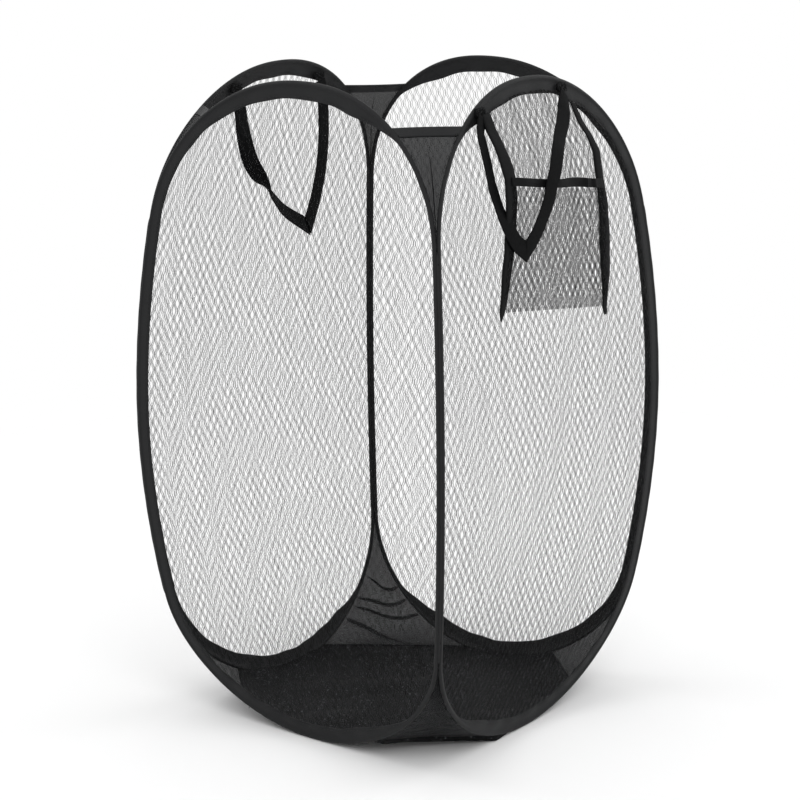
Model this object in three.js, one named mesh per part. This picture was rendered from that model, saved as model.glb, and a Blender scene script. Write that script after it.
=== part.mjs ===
// Pop-up laundry hamper: four sprung wire hoops in fabric casings carry net sides, corner gussets,
// a fabric base, two webbing handles and a hanging net pocket.
// Millimetres, +Z up, origin in the middle of the underside. The front side faces -Y.
import * as THREE from 'three';

// Whole hamper
const hamperHeight = 610;
const hamperWidth = 352;
const topLean = 34.5;
const baseLean = 35.3;
const seamTop = 478;
const seamBottom = 116;
const leanPower = 1.9;
const topArcPower = 2.2;
const bottomArcPower = 2.05;

// Fits
const fitGap = 0.3;
const cornerGap = 0.2;

// Hoop wire, its crimped ferrule and the fabric casing round them
const wireRadius = 1.1;
const ferruleClearance = 0.3;
const ferruleWall = 0.35;
const ferruleLength = 26;
const wireEndGap = 0.6;
const tapeWall = 0.4;
const casingArcWidth = 14;
const casingSideWidth = 7;
const casingWidthPower = 1.5;

// Side nets
const netThickness = 0.9;
const netStrand = 5;
const netCellWidth = 61;
const netCellHeight = 88;

// Corner gussets, hems and seam tapes
const clothThickness = 0.8;
const gussetGap = 0.6;
const gussetStart = 14;
const hemTop = 576;
const hemHeight = 7;
const hemThickness = 2;
const baseThickness = 1.6;
const baseCornerCut = 86;

// Webbing handles
const webbingWidth = 10;
const webbingThickness = 1.4;
const tabHeight = 8;
const tabThickness = 1.2;
const swingClearance = 0.9;
const handleEndGap = 0.6;

// Front handle, which lies over the pocket
const frontTabLeft = -73;
const frontTabRight = 47;
const frontTabLeftHeight = 585;
const frontTabRightHeight = 595;
const frontTipAcross = -66;
const frontTipHeight = 453;
const frontHandleStand = 35.5;
const frontTipStandShare = 0.535;

// Places along its legs: across by shares of the tabs' spacing, down by shares of the leg's drop
// and out by shares of the handle's stand
const frontLeftLegShares = [
  [-0.004, 0.068, 0.268],
  [-0.025, 0.144, 0.408],
  [-0.1, 0.303, 0.563],
  [-0.133, 0.53, 0.558],
  [-0.083, 0.735, 0.586],
];
const frontRightLegShares = [
  [-0.008, 0.077, 0.254],
  [-0.208, 0.232, 0.563],
  [-0.458, 0.444, 1],
  [-0.775, 0.796, 0.746],
];

// Back handle, which hangs straight down inside
const backTabLeft = -53;
const backTabRight = 64;
const backTabLeftHeight = 588;
const backTabRightHeight = 585;
const backTipAcross = -32;
const backTipHeight = 440;
const backLeftLegShares = [[0.017, 0.392], [0.085, 0.73]];
const backRightLegShares = [[-0.188, 0.448], [-0.462, 0.703]];

// Hanging pocket
const pocketTop = 574;
const pocketTopLap = 2;
const pocketRim = 528;
const pocketBottom = 404;
const pocketTopLeft = -84;
const pocketTopRight = 54;
const pocketBottomLeft = -90;
const pocketBottomRight = 56;
const pocketDrift = 16;
const pocketTopStand = 5.3;
const pocketBottomStand = 9;
const pocketBow = 12;
const pocketMouth = 11;
const pocketBack = 8;
const sheetSpacing = 3.2;
const rimHeight = 8;
const bindingWidth = 8;
const bindingGap = 0.7;
const bindingThickness = 4.2;
const bindingPointShare = 0.3;
const pocketStrandWidth = 4;

// Facets
const arcSteps = 7;
const sideSteps = 4;
const legSteps = 9;
const wireSides = 6;
const ferruleSides = 7;
const pocketStrands = 7;
const pocketRows = 5;
const pocketRowsAboveRim = 2;
const bindingSteps = 4;
const rimSteps = 8;

// Sizes that follow from the ones above
const halfWidth = hamperWidth / 2;
const middleHeight = (seamTop + seamBottom) / 2;
const ferruleInner = wireRadius + ferruleClearance;
const ferruleOuter = ferruleInner + ferruleWall;
const cavityHalf = ferruleOuter + fitGap;
const casingHalf = cavityHalf + tapeWall;
const wireDepth = casingHalf;
const cornerSetback = casingHalf + cornerGap;
const netHalf = netThickness / 2;
const slotHalf = netHalf + fitGap;
const lipHalf = slotHalf + tapeWall;
const cavityEnd = wireDepth + cavityHalf;
const slotStart = cavityEnd + tapeWall;
const netTuck = slotStart + fitGap;

const fabric = { color: 0x17171a, roughness: 0.85, metalness: 0 };
const casingFabric = { color: 0x222226, roughness: 0.8, metalness: 0 };
const gussetFabric = { color: 0x333338, roughness: 0.8, metalness: 0 };
const netYarn = { color: 0x2c2c30, roughness: 0.75, metalness: 0 };
const webbing = { color: 0x101012, roughness: 0.7, metalness: 0 };
const springSteel = { color: 0x8d9196, roughness: 0.35, metalness: 1 };

// How far a side stands in from its widest plane at height z
function lean(z) {
  if (z > middleHeight) {
    return topLean * ((z - middleHeight) / (hamperHeight - middleHeight)) ** leanPower;
  }
  return baseLean * ((middleHeight - z) / middleHeight) ** leanPower;
}

// A place on the front side: across it, up it and in from its surface
function onSide(across, z, inward) {
  return new THREE.Vector3(across, lean(z) - halfWidth + inward, z);
}

function sideReach(z) {
  return halfWidth - lean(z) - cornerSetback;
}

// One place on the rounded end of a hoop, by its angle from the seam's end
function arcPlace(angle, seamEnd, arcEnd, power) {
  const rise = Math.sin(angle) ** (2 / power);
  const spread = Math.max(Math.cos(angle), 0) ** (2 / power);
  const z = seamEnd + (arcEnd - seamEnd) * rise;
  return new THREE.Vector2(sideReach(z) * spread, z);
}

// The hoop's outline, from the middle of its foot round by its right side
function hoopOutline() {
  const right = [];
  const quarter = Math.PI / 2;
  for (let i = 1; i < arcSteps; i += 1) {
    right.push(arcPlace(quarter * (1 - i / arcSteps), seamBottom, 0, bottomArcPower));
  }
  for (let i = 0; i <= sideSteps; i += 1) {
    const z = seamBottom + (seamTop - seamBottom) * (i / sideSteps);
    right.push(new THREE.Vector2(sideReach(z), z));
  }
  for (let i = 1; i < arcSteps; i += 1) {
    right.push(arcPlace(quarter * (i / arcSteps), seamTop, hamperHeight, topArcPower));
  }
  const left = right.map((p) => new THREE.Vector2(-p.x, p.y)).reverse();
  const foot = new THREE.Vector2(0, 0);
  const crown = new THREE.Vector2(0, hamperHeight);
  return [foot, ...right, crown, ...left];
}

const outline = hoopOutline();
const stationCount = outline.length;
const stations = outline.map((place, i) => {
  const before = outline[(i + stationCount - 1) % stationCount];
  const after = outline[(i + 1) % stationCount];
  const along = after.clone().sub(before).normalize();
  const level = Math.abs(along.x) ** casingWidthPower;
  return {
    place,
    inward: new THREE.Vector2(-along.y, along.x),
    casingWidth: casingSideWidth + (casingArcWidth - casingSideWidth) * level,
  };
});

// The hoop's half width at height z, on the facets of its outline
function hoopEdge(z) {
  for (let i = 0; i < stationCount / 2; i += 1) {
    const low = outline[i];
    const high = outline[i + 1];
    if (z <= high.y) {
      return low.x + ((high.x - low.x) * (z - low.y)) / (high.y - low.y);
    }
  }
  return 0;
}

// The height of the hoop's upper outline at a distance across
function crownHeight(across) {
  for (let i = stationCount / 2; i > 0; i -= 1) {
    const inner = outline[i];
    const outer = outline[i - 1];
    if (Math.abs(across) <= outer.x) {
      const share = (Math.abs(across) - inner.x) / (outer.x - inner.x);
      return inner.y + (outer.y - inner.y) * share;
    }
  }
  return seamTop;
}

function signedVolume(points, index) {
  let volume = 0;
  const cross = new THREE.Vector3();
  for (let i = 0; i < index.length; i += 3) {
    cross.crossVectors(points[index[i + 1]], points[index[i + 2]]);
    volume += points[index[i]].dot(cross);
  }
  return volume;
}

// A closed solid from its points and triangles, turned right side out
function solid(points, index) {
  const faces = signedVolume(points, index) < 0 ? index.slice().reverse() : index;
  const geometry = new THREE.BufferGeometry().setFromPoints(points);
  geometry.setIndex(faces);
  geometry.computeVertexNormals();
  return geometry;
}

// Rings of one section joined in turn; an open run is capped by the section's own triangles
function joinRings(rings, closed, section) {
  const size = rings[0].length;
  const index = [];
  const runs = closed ? rings.length : rings.length - 1;
  for (let i = 0; i < runs; i += 1) {
    const here = i * size;
    const next = ((i + 1) % rings.length) * size;
    for (let j = 0; j < size; j += 1) {
      const k = (j + 1) % size;
      index.push(here + j, here + k, next + k, here + j, next + k, next + j);
    }
  }
  if (!closed) {
    const last = (rings.length - 1) * size;
    for (const face of THREE.ShapeUtils.triangulateShape(section, [])) {
      const [a, b, c] = turnedLike(section, face);
      index.push(a, c, b, last + a, last + b, last + c);
    }
  }
  return solid(rings.flat(), index);
}

// A triangle of a flat section, in the order that the section's own outline runs
function turnedLike(section, face) {
  const corners = face.map((i) => section[i]);
  const same = THREE.ShapeUtils.area(corners) * THREE.ShapeUtils.area(section) > 0;
  return same ? face : [face[0], face[2], face[1]];
}

// A sheet: its two faces share triangles, and every open edge gets a wall
function slab(front, back, faces) {
  const count = front.length;
  const edges = new Set(faces.flatMap(([a, b, c]) => [`${a},${b}`, `${b},${c}`, `${c},${a}`]));
  const index = [];
  for (const [a, b, c] of faces) {
    index.push(a, b, c, count + a, count + c, count + b);
    for (const [from, to] of [[a, b], [b, c], [c, a]]) {
      if (!edges.has(`${to},${from}`)) {
        index.push(to, from, count + from, to, count + from, count + to);
      }
    }
  }
  return solid([...front, ...back], index);
}

// A sheet over a grid of columns and rows, where place gives a point of the front or the back face
function gridSheet(columns, rows, place) {
  const front = [];
  const back = [];
  const faces = [];
  for (let j = 0; j <= rows; j += 1) {
    for (let i = 0; i <= columns; i += 1) {
      front.push(place(i / columns, j / rows, 1));
      back.push(place(i / columns, j / rows, -1));
    }
  }
  for (let j = 0; j < rows; j += 1) {
    for (let i = 0; i < columns; i += 1) {
      const corner = j * (columns + 1) + i;
      const above = corner + columns + 1;
      faces.push([corner, corner + 1, above + 1], [corner, above + 1, above]);
    }
  }
  return slab(front, back, faces);
}

function insidePolygon(point, polygon) {
  let inside = false;
  for (let i = 0, j = polygon.length - 1; i < polygon.length; j = i, i += 1) {
    const a = polygon[i];
    const b = polygon[j];
    const crosses = a.y > point.y !== b.y > point.y;
    if (crosses && point.x < ((b.x - a.x) * (point.y - a.y)) / (b.y - a.y) + a.x) {
      inside = !inside;
    }
  }
  return inside;
}

// Staggered diamond gaps that fit inside a border
function diamondGaps(border, centre, cellWidth, cellHeight, strand) {
  const gaps = [];
  const wide = (cellWidth - strand) / 2;
  const tall = (cellHeight - (strand * cellHeight) / cellWidth) / 2;
  const box = new THREE.Box2().setFromPoints(border);
  const size = box.getSize(new THREE.Vector2());
  const rows = Math.ceil(size.y / cellHeight);
  const columns = Math.ceil(size.x / cellWidth);
  for (let row = -rows; row <= rows; row += 1) {
    for (let column = -columns; column <= columns; column += 1) {
      const x = centre.x + (column + (Math.abs(row) % 2) / 2) * cellWidth;
      const y = centre.y + (row * cellHeight) / 2;
      const gap = [[x + wide, y], [x, y + tall], [x - wide, y], [x, y - tall]];
      const corners = gap.map(([a, b]) => new THREE.Vector2(a, b));
      if (corners.every((corner) => insidePolygon(corner, border))) {
        gaps.push(corners);
      }
    }
  }
  return gaps;
}

// Triangles of a flat net, all turned one way, over its border's points and then its gaps' points
function netFaces(border, gaps) {
  const places = [...border, ...gaps.flat()];
  const faces = THREE.ShapeUtils.triangulateShape(border, gaps);
  const areas = faces.map((face) => THREE.ShapeUtils.area(face.map((i) => places[i])));
  const upright = areas.reduce((sum, area) => sum + area, 0) > 0;
  return upright ? faces : faces.map(([a, b, c]) => [a, c, b]);
}

// A place at a depth in from the hoop's outline, at a station or part way to the next
function stationPoint(station, depth, inward) {
  const base = Math.floor(station);
  const share = station - base;
  const ends = [base, base + 1].map((i) => {
    const { place, inward: turn } = stations[(i + stationCount) % stationCount];
    return onSide(place.x + turn.x * depth, place.y + turn.y * depth, inward);
  });
  return ends[0].lerp(ends[1], share);
}

function roundSection(sides, radius) {
  return Array.from({ length: sides }, (_, i) => {
    const angle = (2 * Math.PI * i) / sides;
    return new THREE.Vector2(wireDepth + radius * Math.cos(angle), radius * Math.sin(angle));
  });
}

// An open ring: the crimped ferrule's section, with its slit on the net's side
function ferruleSection() {
  const slit = Math.PI / ferruleSides;
  const arc = (radius) => Array.from({ length: ferruleSides + 1 }, (_, i) => {
    const angle = slit + ((2 * Math.PI - 2 * slit) * i) / ferruleSides;
    return new THREE.Vector2(wireDepth + radius * Math.cos(angle), radius * Math.sin(angle));
  });
  return [...arc(ferruleOuter), ...arc(ferruleInner).reverse()];
}

function casingSection(width) {
  const half = [
    [0, casingHalf],
    [cavityEnd + tapeWall / 2, casingHalf],
    [slotStart + tapeWall / 2, lipHalf],
    [width, lipHalf],
    [width, slotHalf],
    [slotStart, slotHalf],
    [cavityEnd, cavityHalf],
    [tapeWall, cavityHalf],
  ];
  const far = half.map(([depth, out]) => new THREE.Vector2(depth, -out)).reverse();
  return [...half.map(([depth, out]) => new THREE.Vector2(depth, out)), ...far];
}

function sectionRing(section, station) {
  return section.map((corner) => stationPoint(station, corner.x, corner.y));
}

const footStep = outline[1].distanceTo(outline[0]);

function hoopWire() {
  const section = roundSection(wireSides, wireRadius);
  const end = wireEndGap / 2 / footStep;
  const places = [end];
  for (let i = 1; i < stationCount; i += 1) {
    places.push(i);
  }
  places.push(stationCount - end);
  return joinRings(places.map((place) => sectionRing(section, place)), false, section);
}

function hoopFerrule() {
  const section = ferruleSection();
  const reach = ferruleLength / 2 / footStep;
  const rings = [-reach, 0, reach].map((place) => sectionRing(section, place));
  return joinRings(rings, false, section);
}

function hoopCasing() {
  const rings = stations.map((station, i) => sectionRing(casingSection(station.casingWidth), i));
  return joinRings(rings, true);
}

// The side's net, tucked into its casing and bent to the side's bow
function sideNet() {
  const ringAt = (depthOf) => stations.map((station) => {
    const depth = depthOf(station);
    return station.place.clone().addScaledVector(station.inward, depth);
  });
  const rim = ringAt(() => netTuck);
  const border = ringAt((station) => station.casingWidth + fitGap);
  const clear = ringAt((station) => station.casingWidth + netStrand);
  const centre = new THREE.Vector2(0, middleHeight);
  const gaps = diamondGaps(clear, centre, netCellWidth, netCellHeight, netStrand);
  const places = [...rim, ...border, ...gaps.flat()];
  const faces = netFaces(border, gaps).map((face) => face.map((i) => i + stationCount));
  for (let i = 0; i < stationCount; i += 1) {
    const next = (i + 1) % stationCount;
    faces.push([i, next, stationCount + next], [i, stationCount + next, stationCount + i]);
  }
  const face = (inward) => places.map((place) => onSide(place.x, place.y, inward));
  return slab(face(-netHalf), face(netHalf), faces);
}

// A sheet across the corner on the front side's left, from one hoop's edge to the other's
function cornerSheet(low, high, thickness, edgeAt) {
  const half = thickness / 2 / Math.SQRT2;
  const between = outline.slice(0, stationCount / 2).map((place) => place.y);
  const heights = [low, ...between.filter((z) => z > low && z < high), high];
  const rows = heights.length - 1;
  return gridSheet(2, rows, (across, up, face) => {
    const z = heights[Math.round(up * rows)];
    const near = edgeAt(z) + gussetGap + half;
    const far = halfWidth - lean(z);
    const x = -near - (far - near) * across;
    const y = -far + (far - near) * across;
    return new THREE.Vector3(x - half * face, y - half * face, z);
  });
}

function topGusset() {
  return cornerSheet(seamTop + gussetStart, hemTop - hemHeight - fitGap, clothThickness, hoopEdge);
}

function topHem() {
  return cornerSheet(hemTop - hemHeight, hemTop, hemThickness, hoopEdge);
}

const baseChord = halfWidth - baseLean - baseCornerCut;

function bottomGusset() {
  const edgeAt = (z) => Math.max(hoopEdge(z), baseChord);
  return cornerSheet(fitGap, seamBottom - gussetStart, clothThickness, edgeAt);
}

// The tape that joins two casings, in the notch between them
function seamTape() {
  const reach = cornerSetback - fitGap;
  const section = [
    new THREE.Vector2(reach, reach),
    new THREE.Vector2(-casingHalf, reach),
    new THREE.Vector2(-casingHalf, 0),
    new THREE.Vector2(0, -casingHalf),
    new THREE.Vector2(reach, -casingHalf),
  ];
  const rings = [];
  for (let i = 0; i <= sideSteps; i += 1) {
    const z = seamBottom + (seamTop - seamBottom) * (i / sideSteps);
    const corner = lean(z) - halfWidth;
    rings.push(section.map((p) => new THREE.Vector3(corner + p.x, corner + p.y, z)));
  }
  return joinRings(rings, false, section);
}

// The base panel: a flat square with its corners cut where the gussets start
function basePanel() {
  const edge = halfWidth - baseLean - casingHalf - fitGap;
  const half = clothThickness / 2 / Math.SQRT2;
  const diagonal = baseChord + gussetGap + half + halfWidth - baseLean;
  const cut = diagonal - Math.SQRT2 * (clothThickness / 2 + fitGap) - edge;
  const shape = new THREE.Shape();
  shape.moveTo(edge, -cut);
  shape.lineTo(edge, cut);
  shape.lineTo(cut, edge);
  shape.lineTo(-cut, edge);
  shape.lineTo(-edge, cut);
  shape.lineTo(-edge, -cut);
  shape.lineTo(-cut, -edge);
  shape.lineTo(cut, -edge);
  shape.closePath();
  return new THREE.ExtrudeGeometry(shape, { depth: baseThickness, bevelEnabled: false });
}

// A strap along places on the side, mitred where it turns, its thickness square to the side
function strap(places) {
  const flat = places.map((place) => new THREE.Vector2(place.x, place.z));
  const edges = flat.map((here, i) => {
    const before = here.clone().sub(flat[Math.max(i - 1, 0)]).normalize();
    const after = flat[Math.min(i + 1, flat.length - 1)].clone().sub(here).normalize();
    const first = i === 0 ? after : before;
    const second = i === flat.length - 1 ? before : after;
    const along = first.clone().add(second).normalize();
    const across = new THREE.Vector2(-along.y, along.x);
    const reach = webbingWidth / 2 / across.dot(new THREE.Vector2(-first.y, first.x));
    return across.multiplyScalar(reach);
  });
  return gridSheet(1, places.length - 1, (side, along, face) => {
    const i = Math.round(along * (places.length - 1));
    const reach = side * 2 - 1;
    const { x, y, z } = places[i];
    const depth = y + (face * webbingThickness) / 2;
    return new THREE.Vector3(x + edges[i].x * reach, depth, z + edges[i].y * reach);
  });
}

// Places on a smooth leg from its tab to the tip, through the places that its shares give
function legPlaces(shares, top, tip, spacing, placeAt) {
  const between = shares.map(([across, down, out]) => {
    return placeAt(top.x + spacing * across, top.z - (top.z - tip.z) * down, out);
  });
  return new THREE.CatmullRomCurve3([top, ...between, tip]).getPoints(legSteps);
}

const tabFront = casingHalf + fitGap + tabThickness;
const swingDepth = tabFront + webbingThickness / 2 + fitGap + swingClearance / 2;

function handleEnd(across, tabFoot, out) {
  return onSide(across, tabFoot - fitGap - handleEndGap, out * swingDepth);
}

function frontHandle() {
  const placeAt = (across, z, stand) => onSide(across, z, -stand * frontHandleStand);
  const spacing = frontTabRight - frontTabLeft;
  const left = handleEnd(frontTabLeft, frontTabLeftHeight, -1);
  const right = handleEnd(frontTabRight, frontTabRightHeight, -1);
  const tip = placeAt(frontTipAcross, frontTipHeight, frontTipStandShare);
  const down = legPlaces(frontLeftLegShares, left, tip, spacing, placeAt);
  const up = legPlaces(frontRightLegShares, right, tip, spacing, placeAt);
  return strap([...down, ...up.reverse().slice(1)]);
}

function backHandle() {
  const spacing = backTabRight - backTabLeft;
  const left = handleEnd(backTabLeft, backTabLeftHeight, 1);
  const right = handleEnd(backTabRight, backTabRightHeight, 1);
  const placeAt = (across, z) => new THREE.Vector3(across, left.y, z);
  const tip = placeAt(backTipAcross, backTipHeight);
  const down = legPlaces(backLeftLegShares, left, tip, spacing, placeAt);
  const up = legPlaces(backRightLegShares, right, tip, spacing, placeAt);
  return strap([...down, ...up.reverse().slice(1)]);
}

// A sewn tab that holds a handle's end flat against the casing
function handleTab(across, foot, out) {
  const near = casingHalf + fitGap;
  return gridSheet(1, 1, (side, up, face) => {
    const depth = near + (tabThickness * (1 + face)) / 2;
    return onSide(across + (side - 1 / 2) * webbingWidth, foot + up * tabHeight, out * depth);
  });
}

const rimRise = pocketRim - pocketBottom;

// The pocket's surface: side -1 to 1 across, height z, and how far it swells out from its edges
function onPocket(side, z, swell) {
  const rise = (z - pocketBottom) / (pocketTop - pocketBottom);
  const nearRim = Math.min((z - pocketBottom) / rimRise, (pocketTop - z) / (pocketTop - pocketRim));
  const left = pocketBottomLeft + (pocketTopLeft - pocketBottomLeft) * rise + pocketDrift * nearRim;
  const right = pocketBottomRight + (pocketTopRight - pocketBottomRight) * rise + pocketDrift * nearRim;
  const stand = pocketBottomStand + (pocketTopStand - pocketBottomStand) * rise + pocketBow * nearRim;
  const across = (left + right) / 2 + ((right - left) / 2) * side;
  const top = crownHeight(across) - casingArcWidth + pocketTopLap;
  const stretch = z > pocketRim ? (top - pocketRim) / (pocketTop - pocketRim) : 1;
  const height = pocketRim + (z - pocketRim) * stretch;
  return onSide(across, height, -(stand + swell * (1 - side * side)));
}

const pocketHalf = (pocketTopRight - pocketTopLeft) / 2;

// One strand's edges at a row of joins: neighbours meet there by turns
function strandEdges(strand, row) {
  const pitch = (2 * pocketHalf) / pocketStrands;
  const sway = ((pitch - pocketStrandWidth) / 2) * ((strand + row) % 2 === 0 ? 1 : -1);
  const centre = strand * pitch - pocketHalf + sway;
  const edges = [centre - pocketStrandWidth / 2, centre + pocketStrandWidth / 2];
  if (strand === 0) {
    return [-pocketHalf, Math.max(edges[1], pocketStrandWidth - pocketHalf)];
  }
  if (strand === pocketStrands) {
    return [Math.min(edges[0], pocketHalf - pocketStrandWidth), pocketHalf];
  }
  return edges;
}

// A net sheet of the pocket: strands that meet by turns at the feet given, and a band at each end
function pocketNet(low, high, feet, swellAt, offset) {
  const places = [];
  const numbers = new Map();
  const faces = [];
  const number = (across, z) => {
    const key = `${across.toFixed(4)},${z.toFixed(4)}`;
    if (!numbers.has(key)) {
      numbers.set(key, places.length);
      places.push(new THREE.Vector2(across, z));
    }
    return numbers.get(key);
  };
  const patch = (lowLeft, lowRight, highLeft, highRight, from, to) => {
    const [a, b] = [number(lowLeft, from), number(lowRight, from)];
    const [c, d] = [number(highRight, to), number(highLeft, to)];
    faces.push([a, b, c], [a, c, d]);
  };
  const rows = feet.length - 1;
  for (let strand = 0; strand <= pocketStrands; strand += 1) {
    for (let row = 0; row <= rows; row += 1) {
      const [left, right] = strandEdges(strand, row);
      patch(left, right, left, right, feet[row], feet[row] + pocketStrandWidth);
      if (row < rows) {
        const [nextLeft, nextRight] = strandEdges(strand, row + 1);
        patch(left, right, nextLeft, nextRight, feet[row] + pocketStrandWidth, feet[row + 1]);
      }
    }
  }
  const band = (row, from, to) => {
    const stops = new Set();
    for (let strand = 0; strand <= pocketStrands; strand += 1) {
      strandEdges(strand, row).forEach((edge) => stops.add(Number(edge.toFixed(4))));
    }
    const sorted = [...stops].sort((a, b) => a - b);
    sorted.slice(1).forEach((stop, i) => patch(sorted[i], stop, sorted[i], stop, from, to));
  };
  band(0, low, feet[0]);
  band(rows, feet[rows] + pocketStrandWidth, high);
  const face = (depth) => places.map((place) => {
    const point = onPocket(place.x / pocketHalf, place.y, swellAt(place.y));
    point.y -= offset + depth;
    return point;
  });
  return slab(face(netHalf), face(-netHalf), faces);
}

function frontSwell(z) {
  return (pocketMouth * (z - pocketBottom)) / (pocketRim - pocketBottom);
}

function backSwell(z) {
  const rise = (z - pocketBottom) / (pocketTop - pocketBottom);
  return -pocketBack * 4 * rise * (1 - rise);
}

// Evenly spaced heights, both ends included
function evenHeights(from, to, steps) {
  return Array.from({ length: steps + 1 }, (_, i) => from + ((to - from) * i) / steps);
}

function pocketFrontNet() {
  const top = pocketRim - rimHeight - fitGap;
  const ends = [pocketBottom + pocketStrandWidth, top - 2 * pocketStrandWidth];
  const feet = evenHeights(...ends, pocketRows);
  return pocketNet(pocketBottom, top, feet, frontSwell, sheetSpacing / 2);
}

function pocketBackNet() {
  const below = evenHeights(pocketBottom + pocketStrandWidth, pocketRim, pocketRows);
  const above = evenHeights(pocketRim, pocketTop - 2 * pocketStrandWidth, pocketRowsAboveRim);
  const feet = [...below, ...above.slice(1)];
  return pocketNet(pocketBottom, pocketTop, feet, backSwell, -sheetSpacing / 2);
}

function pocketRimBand() {
  return gridSheet(rimSteps, 1, (side, up, face) => {
    const z = pocketRim - rimHeight * (1 - up);
    const point = onPocket(side * 2 - 1, z, frontSwell(z));
    point.y -= sheetSpacing / 2 + (face * webbingThickness) / 2;
    return point;
  });
}

// A tape down one side of the pocket, drawn to a point past its foot
function pocketBinding(hand) {
  const foot = pocketBottom - bindingWidth;
  const heights = [foot, pocketBottom];
  heights.push(...evenHeights(pocketBottom, pocketRim, bindingSteps).slice(1));
  heights.push((pocketRim + pocketTop) / 2, pocketTop);
  const rows = heights.length - 1;
  return gridSheet(1, rows, (side, up, face) => {
    const z = heights[Math.round(up * rows)];
    const taper = Math.min(1, bindingPointShare + up / bindingPointShare);
    const point = onPocket(hand, Math.max(z, pocketBottom), 0);
    point.z += Math.min(z - pocketBottom, 0);
    point.x += hand * (bindingGap + side * bindingWidth * taper);
    point.y -= (face * bindingThickness * taper) / 2;
    return point;
  });
}

function piece(name, geometry, look) {
  const mesh = new THREE.Mesh(geometry, new THREE.MeshStandardMaterial(look));
  mesh.name = name;
  return mesh;
}

// One side: its hoop wire and ferrule, its casing and its net
function side(name) {
  const group = new THREE.Group();
  group.add(piece(`${name}_hoop_wire`, hoopWire(), springSteel));
  group.add(piece(`${name}_hoop_ferrule`, hoopFerrule(), springSteel));
  group.add(piece(`${name}_casing`, hoopCasing(), casingFabric));
  group.add(piece(`${name}_net`, sideNet(), netYarn));
  return group;
}

// The corner on a side's left: its gussets, its hem and its seam tape
function corner(name) {
  const group = new THREE.Group();
  group.add(piece(`${name}_top_gusset`, topGusset(), gussetFabric));
  group.add(piece(`${name}_top_hem`, topHem(), fabric));
  group.add(piece(`${name}_bottom_gusset`, bottomGusset(), gussetFabric));
  group.add(piece(`${name}_seam_tape`, seamTape(), casingFabric));
  return group;
}

function pocket() {
  const group = new THREE.Group();
  group.add(piece('pocket_front_net', pocketFrontNet(), netYarn));
  group.add(piece('pocket_back_net', pocketBackNet(), netYarn));
  group.add(piece('pocket_rim_band', pocketRimBand(), webbing));
  group.add(piece('pocket_left_binding', pocketBinding(-1), webbing));
  group.add(piece('pocket_right_binding', pocketBinding(1), webbing));
  return group;
}

function frontHandleSet() {
  const group = new THREE.Group();
  group.add(piece('front_handle', frontHandle(), webbing));
  group.add(piece('front_handle_left_tab', handleTab(frontTabLeft, frontTabLeftHeight, -1), webbing));
  group.add(piece('front_handle_right_tab', handleTab(frontTabRight, frontTabRightHeight, -1), webbing));
  return group;
}

function backHandleSet() {
  const group = new THREE.Group();
  group.add(piece('back_handle', backHandle(), webbing));
  group.add(piece('back_handle_left_tab', handleTab(backTabLeft, backTabLeftHeight, 1), webbing));
  group.add(piece('back_handle_right_tab', handleTab(backTabRight, backTabRightHeight, 1), webbing));
  return group;
}

const hamper = new THREE.Group();
const quarterTurns = { front: 0, right: 1, back: 2, left: 3 };
const cornerTurns = { front_left: 0, front_right: 1, back_right: 2, back_left: 3 };

for (const [name, turns] of Object.entries(quarterTurns)) {
  const group = side(name);
  group.rotation.z = (turns * Math.PI) / 2;
  hamper.add(group);
}
for (const [name, turns] of Object.entries(cornerTurns)) {
  const group = corner(name);
  group.rotation.z = (turns * Math.PI) / 2;
  hamper.add(group);
}
const behind = backHandleSet();
behind.rotation.z = Math.PI;
hamper.add(pocket(), frontHandleSet(), behind, piece('base', basePanel(), fabric));

export default hamper;
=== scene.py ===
import math

import bpy
import numpy as np
from mathutils import Matrix, Vector


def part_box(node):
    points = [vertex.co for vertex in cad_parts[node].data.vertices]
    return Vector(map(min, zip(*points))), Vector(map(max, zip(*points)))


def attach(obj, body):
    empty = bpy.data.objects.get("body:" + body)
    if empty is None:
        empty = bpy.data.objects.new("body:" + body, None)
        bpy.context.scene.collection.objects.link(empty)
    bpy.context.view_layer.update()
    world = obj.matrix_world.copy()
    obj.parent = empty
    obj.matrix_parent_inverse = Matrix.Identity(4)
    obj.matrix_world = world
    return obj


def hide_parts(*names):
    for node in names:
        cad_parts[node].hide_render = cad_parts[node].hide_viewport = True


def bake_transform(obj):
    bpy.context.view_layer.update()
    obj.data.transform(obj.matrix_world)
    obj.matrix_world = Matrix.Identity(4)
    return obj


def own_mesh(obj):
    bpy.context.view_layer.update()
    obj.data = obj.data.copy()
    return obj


# Pop-up laundry hamper dressed over its CAD frame: knitted nets, tape casings on wire hoops,
# thin cloth gussets and base, webbing handles and a net pocket. Lengths in metres.
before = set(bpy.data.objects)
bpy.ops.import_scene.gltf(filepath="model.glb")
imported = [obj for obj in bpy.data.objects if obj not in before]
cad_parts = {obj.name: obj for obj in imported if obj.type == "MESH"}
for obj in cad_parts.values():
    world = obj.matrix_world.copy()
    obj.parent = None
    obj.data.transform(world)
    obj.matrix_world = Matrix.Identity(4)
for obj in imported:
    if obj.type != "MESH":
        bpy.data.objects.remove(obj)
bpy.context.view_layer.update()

# The hamper's own form, shared by every piece
form = {
    "topLean": 0.0345,  # how far the sides stand in at the top
    "baseLean": 0.0353,  # and at the floor
    "leanPower": 1.9,
    "seamTop": 0.478,  # where the casings part at the top corners
    "seamBottom": 0.116,
    "topArcPower": 2.2,
    "bottomArcPower": 2.05,
    "cornerSetback": 0.0006,  # how far each hoop stays short of the corner
    "arcSamples": 400,
    "seamSamples": 200,
}
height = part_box("front_casing")[1][2]
middleHeight = (form["seamTop"] + form["seamBottom"]) / 2
casingHalf = 0.00245
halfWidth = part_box("right_casing")[1][0] - casingHalf
sideTurns = {"front": 0, "right": 1, "back": 2, "left": 3}
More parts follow.
